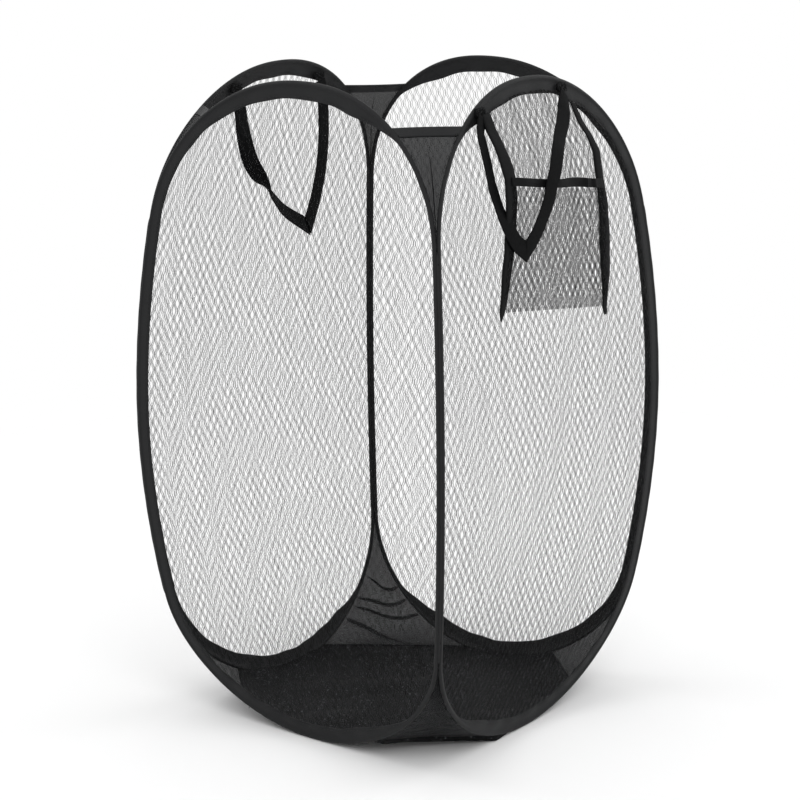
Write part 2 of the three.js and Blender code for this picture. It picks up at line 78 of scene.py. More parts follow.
cornerTurns = {"front_left": 0, "front_right": 1, "back_right": 2, "back_left": 3}


def lean(z):
    # a power curve of the height above or below the middle, zero at the middle
    z = np.asarray(z, float)
    above = np.clip((z - middleHeight) / (height - middleHeight), 0, None) ** form["leanPower"]
    below = np.clip((middleHeight - z) / middleHeight, 0, None) ** form["leanPower"]
    return form["topLean"] * above + form["baseLean"] * below


def onSide(across, z, inward=0.0):
    # a point of the front side: its distance across, its height, and its depth in from the surface
    across, z, inward = np.broadcast_arrays(np.asarray(across, float), z, inward)
    return np.stack([across, lean(z) - halfWidth + inward, z], axis=-1)


def turned(points, quarters):
    # quarter turns about the hamper's upright axis
    c, s = [(1, 0), (0, 1), (-1, 0), (0, -1)][quarters % 4]
    x, y, z = points[..., 0], points[..., 1], points[..., 2]
    return np.stack([c * x - s * y, s * x + c * y, z], axis=-1)


def hoopHalf(count):
    # the hoop's right half from foot to crown: a superellipse quarter, a straight run up the
    # seam that leans with the side, and a second superellipse quarter, evenly spaced along it
    def arc(seamEnd, arcEnd, power, angle):
        # across by a power of the cosine, up by the same power of the sine
        rise = np.sin(angle) ** (2 / power)
        z = seamEnd + (arcEnd - seamEnd) * rise
        return np.stack([sideReach(z) * np.clip(np.cos(angle), 0, None) ** (2 / power), z], axis=1)

    quarter = np.linspace(0, math.pi / 2, form["arcSamples"])
    low = arc(form["seamBottom"], 0.0, form["bottomArcPower"], quarter[::-1])
    seamHeights = np.linspace(form["seamBottom"], form["seamTop"], form["seamSamples"])[1:-1]
    seam = np.stack([sideReach(seamHeights), seamHeights], axis=1)
    high = arc(form["seamTop"], height, form["topArcPower"], quarter)
    return spaced(np.concatenate([low, seam, high]), count)


def sideReach(z):
    # half the width of a side at a height, where the sides beside it stand
    return halfWidth - lean(z) - form["cornerSetback"]


def spaced(path, count):
    # the same path with its points evenly spaced along its length
    steps = np.linalg.norm(np.diff(path, axis=0), axis=1)
    travel = np.concatenate([[0], np.cumsum(steps)])
    at = np.linspace(0, travel[-1], count)
    return np.stack([np.interp(at, travel, path[:, k]) for k in range(path.shape[1])], axis=1)


def hoopLoop(count):
    # the whole hoop: its right half, then the same mirrored on the way down; also the unit
    # vectors that point in from it, and how level it runs at each place, from 0 to 1
    right = hoopHalf(count // 2 + 1)
    left = right[-2:0:-1] * [-1, 1]
    loop = np.concatenate([right, left])
    along = np.roll(loop, -1, axis=0) - np.roll(loop, 1, axis=0)
    along /= np.linalg.norm(along, axis=1)[:, None]
    inward = np.stack([-along[:, 1], along[:, 0]], axis=1)
    return loop, inward, np.abs(along[:, 0])


profile = hoopHalf(900)


def hoopEdge(z):
    # how far across the hoop stands at a height
    return np.interp(z, profile[:, 1], profile[:, 0])


def footHeight(across):
    # how high its lower arc runs at a distance across
    lower = profile[profile[:, 1] < form["seamBottom"]]
    return np.interp(np.abs(across), lower[:, 0], lower[:, 1])


def crownHeight(across):
    # how high its upper arc runs at a distance across
    upper = profile[profile[:, 1] > form["seamTop"]][::-1]
    return np.interp(np.abs(across), upper[:, 0], upper[:, 1])


def makePiece(name, points, faces, look, uv=None):
    # a smooth mesh of points and faces, with a place on its cloth map for each point
    mesh = bpy.data.meshes.new(name)
    mesh.from_pydata(np.reshape(points, (-1, 3)).tolist(), [], [list(face) for face in faces])
    if uv is not None:
        layer = mesh.uv_layers.new(name="Cloth")
        corners = np.zeros(len(mesh.loops), int)
        mesh.loops.foreach_get("vertex_index", corners)
        layer.data.foreach_set("uv", np.reshape(uv, (-1, 2))[corners].ravel())
    mesh.polygons.foreach_set("use_smooth", [True] * len(mesh.polygons))
    mesh.materials.append(look)
    mesh.update()
    piece = bpy.data.objects.new(name, mesh)
    bpy.context.scene.collection.objects.link(piece)
    return piece


def gridFaces(rows, columns, closedRows=False, closedColumns=False):
    # quads between neighbouring points of a grid, numbered row by row
    i = np.arange(rows if closedRows else rows - 1)[:, None]
    j = np.arange(columns if closedColumns else columns - 1)[None, :]
    nextI, nextJ = (i + 1) % rows, (j + 1) % columns
    corners = [i * columns + j, i * columns + nextJ, nextI * columns + nextJ, nextI * columns + j]
    return np.stack(np.broadcast_arrays(*corners), axis=-1).reshape(-1, 4)


def outward(points, faces):
    # a closed shape's faces, reversed where its signed volume is negative
    a, b, c, d = (np.reshape(points, (-1, 3))[faces[:, k]] for k in range(4))
    volume = (a * np.cross(b, c)).sum() + (a * np.cross(c, d)).sum()
    return faces if volume > 0 else faces[:, ::-1]


def clothUv(points):
    # mean distances in metres along the rows and down the columns of a grid of points
    down = np.linalg.norm(np.diff(points, axis=0), axis=-1).mean(axis=1)
    along = np.linalg.norm(np.diff(points, axis=1), axis=-1).mean(axis=0)
    v = np.concatenate([[0], np.cumsum(down)])
    u = np.concatenate([[0], np.cumsum(along)])
    return np.stack(np.meshgrid(u, v), axis=-1)


def tubePiece(name, rings, look, closed=False):
    # rings of points joined in turn; an open tube gets one face across each end
    count, size = rings.shape[:2]
    uv = clothUv(np.concatenate([rings, rings[:, :1]], axis=1))[:, :size]
    faces = gridFaces(count, size, closedRows=closed, closedColumns=True)
    if closed:
        return makePiece(name, rings, outward(rings, faces), look, uv)
    ends = [list(range(size))[::-1], [(count - 1) * size + k for k in range(size)]]
    piece = makePiece(name, rings, faces.tolist() + ends, look, uv)
    return pointOutwards(piece)


def pointOutwards(piece):
    # faces turned outwards all together, judged by the closed mesh's signed volume
    mesh = piece.data
    mesh.calc_loop_triangles()
    points = np.array([vertex.co for vertex in mesh.vertices])
    triangles = np.array([triangle.vertices for triangle in mesh.loop_triangles])
    a, b, c = (points[triangles[:, k]] for k in range(3))
    if (a * np.cross(b, c)).sum() < 0:
        mesh.flip_normals()
    return piece


def sheetPiece(name, points, look, thickness):
    # one grid of points, given its thickness to both sides by Solidify
    rows, columns = points.shape[:2]
    piece = makePiece(name, points, gridFaces(rows, columns), look, clothUv(points))
    solid = piece.modifiers.new("Thickness", "SOLIDIFY")
    solid.thickness = thickness
    solid.offset = 0
    return piece


# Materials: patterns are in metres, on a piece's own cloth map or on Object coordinates
class Look:
    def __init__(self, name, roughness, sheen=0.0, metallic=0.0, alpha=1.0, shine=0.2):
        self.material = bpy.data.materials.new(name)
        self.material.use_nodes = True
        self.tree = self.material.node_tree
        self.shader = self.tree.nodes["Principled BSDF"]
        self.shader.inputs["Roughness"].default_value = roughness
        self.shader.inputs["Metallic"].default_value = metallic
        self.shader.inputs["Specular IOR Level"].default_value = shine
        self.shader.inputs["Sheen Weight"].default_value = sheen
        self.shader.inputs["Sheen Roughness"].default_value = 0.4
        self.shader.inputs["Alpha"].default_value = alpha
        self.place = self.add("ShaderNodeTexCoord")

    def add(self, kind, **settings):
        # a node of one kind, with its settings
        node = self.tree.nodes.new(kind)
        for key, value in settings.items():
            setattr(node, key, value)
        return node

    def link(self, source, target):
        self.tree.links.new(source, target)

    def stripes(self, axis, pitch, source="UV"):
        # a sine along one axis of the map, one ridge in each pitch
        wave = self.add("ShaderNodeTexWave", wave_type="BANDS", bands_direction=axis)
        wave.inputs["Scale"].default_value = math.pi / 10 / pitch
        self.link(self.place.outputs[source], wave.inputs["Vector"])
        return wave.outputs["Fac"]

    def clouds(self, size, detail=3.0, source="Object", squeeze=(1, 1, 1)):
        # noise whose patches are about size across, drawn out along an axis by squeeze
        mapping = self.add("ShaderNodeMapping")
        mapping.inputs["Scale"].default_value = squeeze
        self.link(self.place.outputs[source], mapping.inputs["Vector"])
        noise = self.add("ShaderNodeTexNoise")
        noise.inputs["Scale"].default_value = 1 / size
        noise.inputs["Detail"].default_value = detail
        self.link(mapping.outputs["Vector"], noise.inputs["Vector"])
        return noise.outputs["Fac"]

    def combine(self, how, first, second):
        # two values, or a value and a number, joined by one operation
        node = self.add("ShaderNodeMath", operation=how)
        for socket, value in zip(node.inputs, (first, second)):
            if isinstance(value, (int, float)):
                socket.default_value = value
            else:
                self.link(value, socket)
        return node.outputs["Value"]

    def span(self, source, low, high, start=0.0, end=1.0):
        # a value that runs from start to end, mapped in a straight line to low and high
        node = self.add("ShaderNodeMapRange")
        for key, value in (("From Min", start), ("From Max", end), ("To Min", low), ("To Max", high)):
            node.inputs[key].default_value = value
        self.link(source, node.inputs["Value"])
        return node.outputs["Result"]

    def paint(self, source, stops):
        # the base colour, from a ramp of greys with a slight cool cast
        ramp = self.add("ShaderNodeValToRGB")
        while len(ramp.color_ramp.elements) < len(stops):
            ramp.color_ramp.elements.new(0.5)
        for element, (position, grey, cast) in zip(ramp.color_ramp.elements, stops):
            element.position = position
            element.color = (grey, grey * (1 + cast / 3), grey * (1 + cast), 1)
        self.link(source, ramp.inputs["Fac"])
        self.link(ramp.outputs["Color"], self.shader.inputs["Base Color"])

    def rough(self, source, low, high):
        # roughness that follows a pattern between two limits
        self.link(self.span(source, low, high), self.shader.inputs["Roughness"])

    def relief(self, heightSource, depth, strength=1.0):
        # bumps that follow a pattern, depth metres high
        bump = self.add("ShaderNodeBump")
        bump.inputs["Distance"].default_value = depth
        bump.inputs["Strength"].default_value = strength
        self.link(heightSource, bump.inputs["Height"])
        self.link(bump.outputs["Normal"], self.shader.inputs["Normal"])


# the greys of each finish from its darkest place to its palest, and the sizes of its pattern
finish = {
    "casingTape": {"greys": (0.006, 0.013), "ribs": (0.0007, 0.0005), "wear": 0.03, "shine": 0.22},
    "bindingTape": {"greys": (0.003, 0.006), "ribs": (0.0007, 0.0005), "wear": 0.03, "shine": 0.08},
    "gussetNylon": {
        "greys": (0.007, 0.016), "thread": 0.0006, "crinkle": 0.007, "patch": 0.06, "alpha": 0.775,
    },
    "baseNylon": {"greys": (0.003, 0.006, 0.16), "thread": 0.0022, "grain": 0.0021, "patch": 0.05},
    "sideYarn": {"grey": 0.009, "alpha": 0.295, "ply": 0.0009, "slant": 0.6, "patch": 0.02},
    "pocketYarn": {"grey": 0.009, "alpha": 0.29, "ply": 0.0009, "slant": 0.6, "patch": 0.02},
    "wovenWebbing": {"greys": (0.002, 0.005), "cord": 0.0011, "weft": 0.0008, "fuzz": 0.004},
    "springWire": {"greys": (0.36, 0.5), "scratch": 0.0015},
    "sewingThread": {"greys": (0.008, 0.02), "twist": 0.0012},
}


def tapeLook(name):
    # folded woven tape: fine ribs across it, worn paler where it rubs
    values = finish[name]
    low, high = values["greys"]
    shine = values["shine"]
    look = Look(name, 0.6, sheen=0.02 if shine > 0.1 else 0, shine=shine)
    across, along = values["ribs"]
    weave = look.combine("MULTIPLY", look.stripes("Y", across), look.stripes("X", along))
    wear = look.clouds(values["wear"], detail=5)
    look.paint(look.combine("MULTIPLY", weave, wear), [(0.0, low, 0.1), (0.6, high, 0.14)])
    look.rough(wear, 0.45, 0.75)
    look.relief(look.combine("ADD", weave, look.combine("MULTIPLY", wear, 2.0)), 0.00015, 0.7)
    return look.material


def nylonLook(name):
    # thin coated nylon: a fine square weave over soft crinkles
    values = finish[name]
    low, high = values["greys"]
    thread = values["thread"]
    look = Look(name, 0.55, alpha=values["alpha"], shine=0.15)
    weave = look.combine("MULTIPLY", look.stripes("X", thread), look.stripes("Y", thread))
    creases = look.clouds(values["crinkle"], detail=6)
    broad = look.clouds(values["patch"], detail=2)
    tone = look.combine("ADD", look.combine("MULTIPLY", creases, 0.6), look.combine("MULTIPLY", broad, 0.4))
    look.paint(tone, [(0.3, low, 0.12), (0.7, high, 0.12)])
    look.rough(creases, 0.42, 0.7)
    relief = look.combine("ADD", look.combine("MULTIPLY", creases, 6.0), weave)
    look.relief(relief, 0.0003, 0.8)
    return look.material


def speckledLook(name):
    # coarse woven base cloth: pale flecks where the coated threads catch the light
    values = finish[name]
    low, high, fleck = values["greys"]
    thread = values["thread"]
    look = Look(name, 0.65, shine=0.08)
    weave = look.combine("MULTIPLY", look.stripes("X", thread), look.stripes("Y", thread))
    grain = look.clouds(values["grain"], detail=2)
    flecks = look.span(grain, 0.0, 1.0, 0.60, 0.72)
    broad = look.clouds(values["patch"], detail=3)
    tone = look.combine("ADD", look.combine("MULTIPLY", broad, 0.35), look.combine("MULTIPLY", flecks, 0.65))
    look.paint(tone, [(0.1, low, 0.12), (0.3, high, 0.12), (1.0, fleck, 0.1)])
    look.rough(grain, 0.45, 0.75)
    look.relief(look.combine("ADD", look.combine("MULTIPLY", grain, 2.0), weave), 0.0004, 0.8)
    return look.material


def yarnLook(name):
    # fine twisted filaments that let some light through: slanting plies along the strand
    values = finish[name]
    grey = values["grey"]
    look = Look(name, 0.6, alpha=values["alpha"], shine=0.1)
    mapping = look.add("ShaderNodeMapping")
    mapping.inputs["Rotation"].default_value = (0, 0, values["slant"])
    look.link(look.place.outputs["UV"], mapping.inputs["Vector"])
    wave = look.add("ShaderNodeTexWave", wave_type="BANDS", bands_direction="Y")
    wave.inputs["Scale"].default_value = math.pi / 10 / values["ply"]
    look.link(mapping.outputs["Vector"], wave.inputs["Vector"])
    plies = wave.outputs["Fac"]
    tone = look.combine("MULTIPLY", plies, look.clouds(values["patch"]))
    look.paint(tone, [(0.0, grey * 0.7, 0.1), (0.6, grey * 1.4, 0.1)])
    look.relief(plies, 0.0001, 0.6)
    return look.material


def webbingLook(name):
    # plain woven webbing: lengthwise cords crossed by weft, with a paler fuzz
    values = finish[name]
    low, high = values["greys"]
    look = Look(name, 0.75, shine=0.06)
    cords = look.stripes("X", values["cord"])
    weft = look.stripes("Y", values["weft"])
    weave = look.combine("MAXIMUM", cords, look.combine("MULTIPLY", weft, 0.8))
    fuzz = look.clouds(values["fuzz"], detail=4)
    look.paint(look.combine("MULTIPLY", weave, fuzz), [(0.1, low, 0.1), (0.6, high, 0.1)])
    look.relief(look.combine("ADD", weave, fuzz), 0.0002, 0.8)
    return look.material


def wireLook(name):
    # drawn spring wire: fine scratches along it
    values = finish[name]
    low, high = values["greys"]
    look = Look(name, 0.35, metallic=1.0, shine=0.5)
    scratches = look.clouds(values["scratch"], detail=4, source="UV", squeeze=(1, 0.05, 1))
    look.paint(scratches, [(0.3, low, 0.03), (0.7, high, 0.03)])
    look.rough(scratches, 0.25, 0.45)
    look.relief(scratches, 0.00005, 0.4)
    return look.material


def threadLook(name):
    # sewing thread: short soft patches that stand for its twist
    values = finish[name]
    low, high = values["greys"]
    look = Look(name, 0.6, sheen=0.05)
    twist = look.clouds(values["twist"], detail=2)
    look.paint(twist, [(0.3, low, 0.1), (0.7, high, 0.1)])
    look.relief(twist, 0.0001, 0.5)
    return look.material


tape = tapeLook("casingTape")
gussetCloth = nylonLook("gussetNylon")
baseCloth = speckledLook("baseNylon")
sideYarn = yarnLook("sideYarn")
pocketYarn = yarnLook("pocketYarn")
webbing = webbingLook("wovenWebbing")
binding = tapeLook("bindingTape")
springWire = wireLook("springWire")
sewingThread = threadLook("sewingThread")
print("looks made")


# Hoop casings: a folded tape, full round the wire and flat at its inner edge
casing = {
    "stations": 420,
    "arcWidth": 0.0158,
    # its width at the four seams: the tape lies flatter at the outer corners
    "seamWidth": {"front_left": 0.0041, "front_right": 0.0138, "back_right": 0.0040, "back_left": 0.0132},
    "widenFrom": 0.72,  # how level the hoop runs where the tape starts to widen, and where it is full
    "widenTo": 0.96,
    "seamBead": 0.00170,  # radius of the fold round the wire, at the seams and at the arcs
    "arcBead": 0.00235,
    "beadEnd": 38,  # degrees at which the round fold passes into the flat lip
    "hollowShare": 0.2,  # the hollow behind the fold, as a share of the width that is left
    "hollowReach": 2.5,  # where the flat lip starts, in hollows
    "lipHalf": 0.0009,
    "lipSetbackShares": (0.8, 0.2, 0.0),  # the lip's edge: setbacks and thicknesses as shares of lipHalf
    "lipThicknessShares": (1.06, 1.0, 1.0, 0.75, 0.0),
    "flutter": 0.0006,  # how far the flat edge waves out of its plane
    "flutterCount": 46,
    "edgeWander": 0.0004,  # how far the tape's width wanders
    "wanderCount": 31,
    "stitchPitch": 0.0042,
    "stitchShare": 0.62,
    "stitchInset": 0.0022,
    "stitchSteps": (0.0, 0.12, 0.88, 1.0),  # rings along one stitch, and their lift in thread radii
    "stitchLifts": (-0.4, 0.6, 0.6, -0.4),
    "threadRadius": 0.00025,
    "threadSides": 5,
}
wire = {"radius": 0.0011, "ferruleOut": 0.00165, "ferruleLength": 0.026, "stations": 600, "sides": 10}
sideCorners = {
    "front": ("front_left", "front_right"),
    "right": ("front_right", "back_right"),
    "back": ("back_right", "back_left"),
    "left": ("back_left", "front_left"),
}


def arcShare(level):
    # 0 along the seams, easing to 1 where the hoop runs level
    share = np.clip((level - casing["widenFrom"]) / (casing["widenTo"] - casing["widenFrom"]), 0, 1)
    return share * share * (3 - 2 * share)


def casingWidth(name, loop, level):
    # widest where the hoop runs level, drawing in to the width at the seam on that hand
    narrow = [casing["seamWidth"][at] for at in sideCorners[name]]
    seamWidth = np.where(loop[:, 0] < 0, *narrow)
    return seamWidth + (casing["arcWidth"] - seamWidth) * arcShare(level)


def beadHalf(level):
    # radius of the fold, from the seams' to the arcs'
    return casing["seamBead"] + (casing["arcBead"] - casing["seamBead"]) * arcShare(level)


def onHoop(loop, inward, depth, out, wave=0.0):
    # a point at a depth in from the hoop's line and out of the side's surface, for each station
    across = loop[:, None, 0] + inward[:, None, 0] * depth
    z = loop[:, None, 1] + inward[:, None, 1] * depth
    return onSide(across, np.clip(z, 0, height), -(out + wave))


def casingRings(name):
    # around the tape: a half circle over the wire, a hollow, then the flat lip with a round edge
    loop, inward, level = hoopLoop(casing["stations"])
    turn = np.arange(len(loop)) * math.tau / len(loop)
    wander = casing["edgeWander"] * np.sin(turn * casing["wanderCount"]) * level
    width = (casingWidth(name, loop, level) + wander)[:, None]
    r, lip = beadHalf(level)[:, None], casing["lipHalf"]
    angle = np.linspace(math.pi, math.radians(casing["beadEnd"]), 8)
    hollow = (width - 2 * r) * casing["hollowShare"]
    edge = width - lip * np.array(casing["lipSetbackShares"])
    runs = [r + r * np.cos(angle), 2 * r + hollow, 2 * r + hollow * casing["hollowReach"], edge]
    depth = np.concatenate(runs, axis=1)
    flat = lip * np.array(casing["lipThicknessShares"])
    out = np.concatenate([r * np.sin(angle), flat * np.ones_like(r)], axis=1)
    depth = np.concatenate([depth, depth[:, -2:0:-1]], axis=1)
    out = np.concatenate([out, -out[:, -2:0:-1]], axis=1)
    share = np.clip((depth - 2 * r) / (width - 2 * r), 0, 1)
    ripple = np.sin(turn * casing["flutterCount"] + 1.7 * np.sin(3 * turn)) * casing["flutter"]
    return onHoop(loop, inward, depth, out, share * (ripple * level)[:, None])


def stitchRow(name, path, normal, look):
    # a row of short threads laid on a path: each a flat-ended run of rings that rises at its ends
    travel = np.concatenate([[0], np.cumsum(np.linalg.norm(np.diff(path, axis=0), axis=1))])
    count = int(travel[-1] / casing["stitchPitch"])
    pitch = travel[-1] / count
    starts = np.arange(count) * pitch
    steps, lift = np.array(casing["stitchSteps"]), np.array(casing["stitchLifts"]) * casing["threadRadius"]
    at = starts[:, None] + steps * pitch * casing["stitchShare"]
    pick = lambda values: np.stack([np.interp(at, travel, values[:, k]) for k in range(3)], axis=-1)
    spine, up = pick(path), pick(normal)
    up /= np.linalg.norm(up, axis=-1)[..., None]
    spine = spine + up * lift[None, :, None]
    run = spine[:, -1:] - spine[:, :1]
    run /= np.linalg.norm(run, axis=-1)[..., None]
    side = np.cross(run, up)
    sides = casing["threadSides"]
    angle = np.arange(sides) * math.tau / sides
    ring = side[..., None, :] * np.cos(angle)[:, None] + up[..., None, :] * np.sin(angle)[:, None]
    points = spine[..., None, :] + ring * casing["threadRadius"]
    size = len(steps) * sides
    one = gridFaces(len(steps), sides, closedColumns=True).tolist()
    faces = [[k + i * size for k in face] for i in range(count) for face in one]
    ends = (range(sides - 1, -1, -1), range(size - sides, size))
    caps = [[i * size + k for k in order] for i in range(count) for order in ends]
    return pointOutwards(makePiece(name, points, faces + caps, look))


def hoopSet(name):
    # one hoop: its tape, the wire and ferrule inside the tape's fold, and a row of stitches each side
    quarters, body = sideTurns[name], f"{name}_side"
    rings = turned(casingRings(name), quarters)
    cover = tubePiece(f"{name}TapeCasing", rings, tape, closed=True)
    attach(cover, body)
    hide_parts(f"{name}_casing")

    loop, inward, level = hoopLoop(wire["stations"])
    angle = np.arange(wire["sides"]) * math.tau / wire["sides"]
    section = np.stack([np.cos(angle), np.sin(angle)], axis=1)
    for label, radius, look, reach in (
        ("SpringWire", wire["radius"], springWire, None),
        ("CrimpedFerrule", wire["ferruleOut"], springWire, wire["ferruleLength"]),
    ):
        depth = beadHalf(level)[:, None] + radius * section[:, 0]
        ringed = onHoop(loop, inward, depth, radius * section[:, 1])
        if reach is None:
            piece = tubePiece(name + label, turned(ringed, quarters), look, closed=True)
        else:
            near = (np.abs(loop[:, 0]) <= reach / 2) & (loop[:, 1] < middleHeight)
            order = np.argsort(loop[near, 0])
            piece = tubePiece(name + label, turned(ringed[near][order], quarters), look)
        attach(piece, body)
        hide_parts(f"{name}_hoop_wire" if reach is None else f"{name}_hoop_ferrule")

    facing = turned(np.array([0.0, -1.0, 0.0]), quarters)
    for face, sign in (("Outer", 1), ("Inner", -1)):
        depth = (casingWidth(name, loop, level) - casing["stitchInset"])[:, None]
        line = onHoop(loop, inward, depth, sign * casing["lipHalf"])[:, 0]
        line = turned(np.concatenate([line, line[:1]]), quarters)
        normal = np.broadcast_to(facing * sign, line.shape)
        row = stitchRow(f"{name}Casing{face}Stitches", line, normal, sewingThread)
        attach(row, body)


for name in sideTurns:
    hoopSet(name)
print("casings, wires and stitches made")


# Knitted nets: upright yarns that swing to meet one neighbour and then the other
net = {
    "cellWidth": 0.0091,
    "cellHeight": 0.0145,
    "yarn": 0.00036,  # radius of one thread
    "twin": 0.00100,  # each yarn is two threads, this far to either side of its line
    "knotShare": 0.14,  # share of the cell's height in which two yarns lie together
    "clothShare": 0.3,  # share of the net that isn't open
    "trim": 0.005,
    "tuck": 0.0030,  # how far it runs into the casing at the sides
    "arcTuck": 0.0090,
    "endGap": 0.004,  # how far above the floor its first row lies, and its last below the crown
    "slack": 0.0022,  # how far the net bellies out
    "ripple": 0.4,  # share of the slack that ripples, and how often across and up, as radians a metre
    "rippleCounts": (41, 17),
    "wander": 0.0004,  # how far a yarn strays, and how often with the height and from yarn to yarn
    "wanderCounts": (61, 0.9, 37),
    "twinWander": 0.3,
    "twinCount": 431,
    "section": ((1, 0.58), (-1, 0.58), (0, -1.15)),  # a thread's three corners, in thread radii
}


def knittedNet(name, halfSpan, low, high, size, inside, surface, look):
    # columns of yarn, each a pair of threads: each row of the grid is a bend, and a yarn's sway
    # changes side at every knot; three points round the thread at each bend
    pitch = size["cellWidth"] / 2
    count = int(halfSpan / pitch)
    column = np.repeat(np.arange(-count, count + 1), 2)
    twin = np.tile([-1.0, 1.0], len(column) // 2) * size["twin"]
    rows = int((high - low) / size["cellHeight"] * 4) + 1
    step = np.array([0, size["knotShare"], 0.5, 0.5 + size["knotShare"]])
    row = np.arange(rows)
    z = low + (row // 4 + step[row % 4]) * size["cellHeight"]
    side = np.where(row % 4 < 2, 1.0, -1.0)
    sway = side[None, :] * np.where(column % 2 == 0, 1.0, -1.0)[:, None]
    across = column[:, None] * pitch + sway * (pitch / 2 - size["twin"])
    # the yarns wander together with the height, and each a little on its own
    often, perYarn, slow = size["wanderCounts"]
    drift = np.sin(z * often + 2)[None, :] + np.sin(column * perYarn)[:, None] * np.cos(z * slow)[None, :]
    across = across + size["wander"] * drift
    keep = inside(np.broadcast_to(column[:, None] * pitch, across.shape), z[None, :] + 0 * across)
    across = across + twin[:, None] * (1 + size["twinWander"] * np.sin(z * size["twinCount"] + 1)[None, :])
    zGrid = np.broadcast_to(z[None, :], across.shape)
    offsets = np.array(size["section"]) * size["yarn"]
    points = surface(across[..., None] + offsets[:, 0], zGrid[..., None], offsets[:, 1])

    k, r = np.nonzero(keep[:, :-1] & keep[:, 1:])
    number = lambda kk, rr, c: (kk * rows + rr) * 3 + c % 3
    wall = lambda c: [number(k, r, c), number(k, r + 1, c), number(k, r + 1, c + 1), number(k, r, c + 1)]
    walls = np.concatenate([np.stack(wall(c), axis=1) for c in range(3)])
    # each run of thread is closed by one face at either end
    before = np.concatenate([np.zeros((len(column), 1), bool), keep[:, :-1]], axis=1)
    after = np.concatenate([keep[:, 1:], np.zeros((len(column), 1), bool)], axis=1)
    k0, r0 = np.nonzero(keep & ~before & after)
    k1, r1 = np.nonzero(keep & before & ~after)
    starts = np.stack([number(k0, r0, c) for c in range(3)], axis=1)
    ends = np.stack([number(k1, r1, c) for c in (2, 1, 0)], axis=1)
    corners = np.concatenate([walls.ravel(), starts.ravel(), ends.ravel()])
    used, compact = np.unique(corners, return_inverse=True)
    compact = compact.ravel()
    faces = compact[: walls.size].reshape(-1, 4).tolist() + compact[walls.size :].reshape(-1, 3).tolist()
    uv = np.stack(np.broadcast_arrays(np.arange(3) * size["yarn"] * 2, zGrid[..., None]), axis=-1)
    piece = makePiece(name, points.reshape(-1, 3)[used], faces, look, uv.reshape(-1, 2)[used])
    return pointOutwards(piece)


def insideHoop(name):
    # a test for the places that the net covers: inside the hoop, and a little way into its casing
    loop, inward, level = hoopLoop(720)
    tuck = net["tuck"] + (net["arcTuck"] - net["tuck"]) * level
    inner = loop + inward * (casingWidth(name, loop, level) - tuck)[:, None]
    hands = [inner[inner[:, 0] * hand >= 0] for hand in (-1, 1)]
    hands = [hand[np.argsort(hand[:, 1])] for hand in hands]
    low, high = inner[:, 1].min(), inner[:, 1].max()

    def inside(across, z):
        # between the inner edges of the two hands at that height, which lie on straight lines
        left, right = (np.interp(z, hand[:, 1], hand[:, 0]) for hand in hands)
        return (across > left) & (across < right) & (z > low) & (z < high)

    return inside


def slackSide(shift):
    # a surface for the net of one side; shift tells one side's ripples from another's
    def bellied(across, z, out):
        # the net bellies by a parabola across times a half wave up, with a slow ripple over it
        wide = np.clip(1 - (across / sideReach(z)) ** 2, 0, 1)
        tall = np.clip(np.sin(math.pi * np.clip(z / height, 0, 1)), 0, 1)
        wideCount, tallCount = net["rippleCounts"]
        waves = np.sin(across * wideCount + shift) * np.sin(z * tallCount + 2 * shift)
        ripple = 1 - net["ripple"] + net["ripple"] * waves
        return onSide(across, z, -(out + net["slack"] * wide * tall * ripple))
    return bellied


def sideNets():
    # one net a side, cut to its hoop; its flat size is the hoop's, less what the casing leaves over
    for name, quarters in sideTurns.items():
        inside = insideHoop(name)
        bellied = slackSide(quarters * 1.3)
        surface = lambda across, z, out: turned(bellied(across, z, out), quarters)
        low, high = net["endGap"], height - net["endGap"]
        piece = knittedNet(f"{name}KnittedNet", halfWidth, low, high, net, inside, surface, sideYarn)
        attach(piece, f"{name}_side")
        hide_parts(f"{name}_net")


sideNets()
print("side nets made")


# Corner cloth: gussets between two hoops, their hems, and the tapes that join the casings
corner = {
    "columns": 49,
    "thickness": 0.0005,
    "tuck": 0.0010,  # how far the cloth runs into the casings
    "overlap": 0.004,
    "hemTop": 0.576,
    "hemHeight": 0.007,
    "hemThickness": 0.0016,
    "topSag": 0.004,
    "lowSag": 0.006,
    "footLap": 0.003,  # how far the low cloth runs down past the base's edge
    "floorGap": 0.0006,
    # where the top cloth's upright pleat and its soft fold stand: place across, lean with the height
    "pleatPlace": (0.47, 0.05),
    "softPlace": (0.68, 0.12),
    "pleatShift": 0.02,  # how far the pleat stands further on from corner to corner
    "pleatSize": 0.0050,  # that pleat's depth, its width at the top, and how it widens
    "pleatWidth": 0.022,
    "pleatSpread": 0.03,
    "softFold": 0.0040,  # depth and width of the soft fold
    "softWidth": 0.07,
    "foldsElsewhere": 0.25,  # depth of the low cloth's folds at the other three corners
    "foldSag": (0.03, 0.012, 9),  # how far those folds sag, and waver, and how often
    "lowRipple": (0.0015, 7, 5),  # the low cloth's soft ripple: depth, and how often across and up
    "closedShare": 0.28,  # how much of its depth the back right corner's cloth keeps when folded
    # the low cloth's folds: height as a share, depth, width as a share, slant, middle and reach
    "folds": (
        (0.13, 0.0040, 0.022, 0.20, 0.34, 0.50),
        (0.225, 0.0040, 0.020, 0.09, 0.55, 0.56),
        (0.31, 0.0044, 0.022, 0.04, 0.50, 0.60),
        (0.42, 0.0038, 0.020, 0.12, 0.62, 0.50),
    ),
    # how far from the middle of its side each low cloth's foot leaves its first and second hoop
    "footReach": {
        "front_left": (0.046, 0.080),
        "front_right": (0.076, 0.078),
        "back_right": (0.046, 0.024),
        "back_left": (0.076, 0.080),
    },
}


def ridge(distance, width):
    # a bell curve that is 1 at distance 0
    return np.exp(-((distance / width) ** 2))


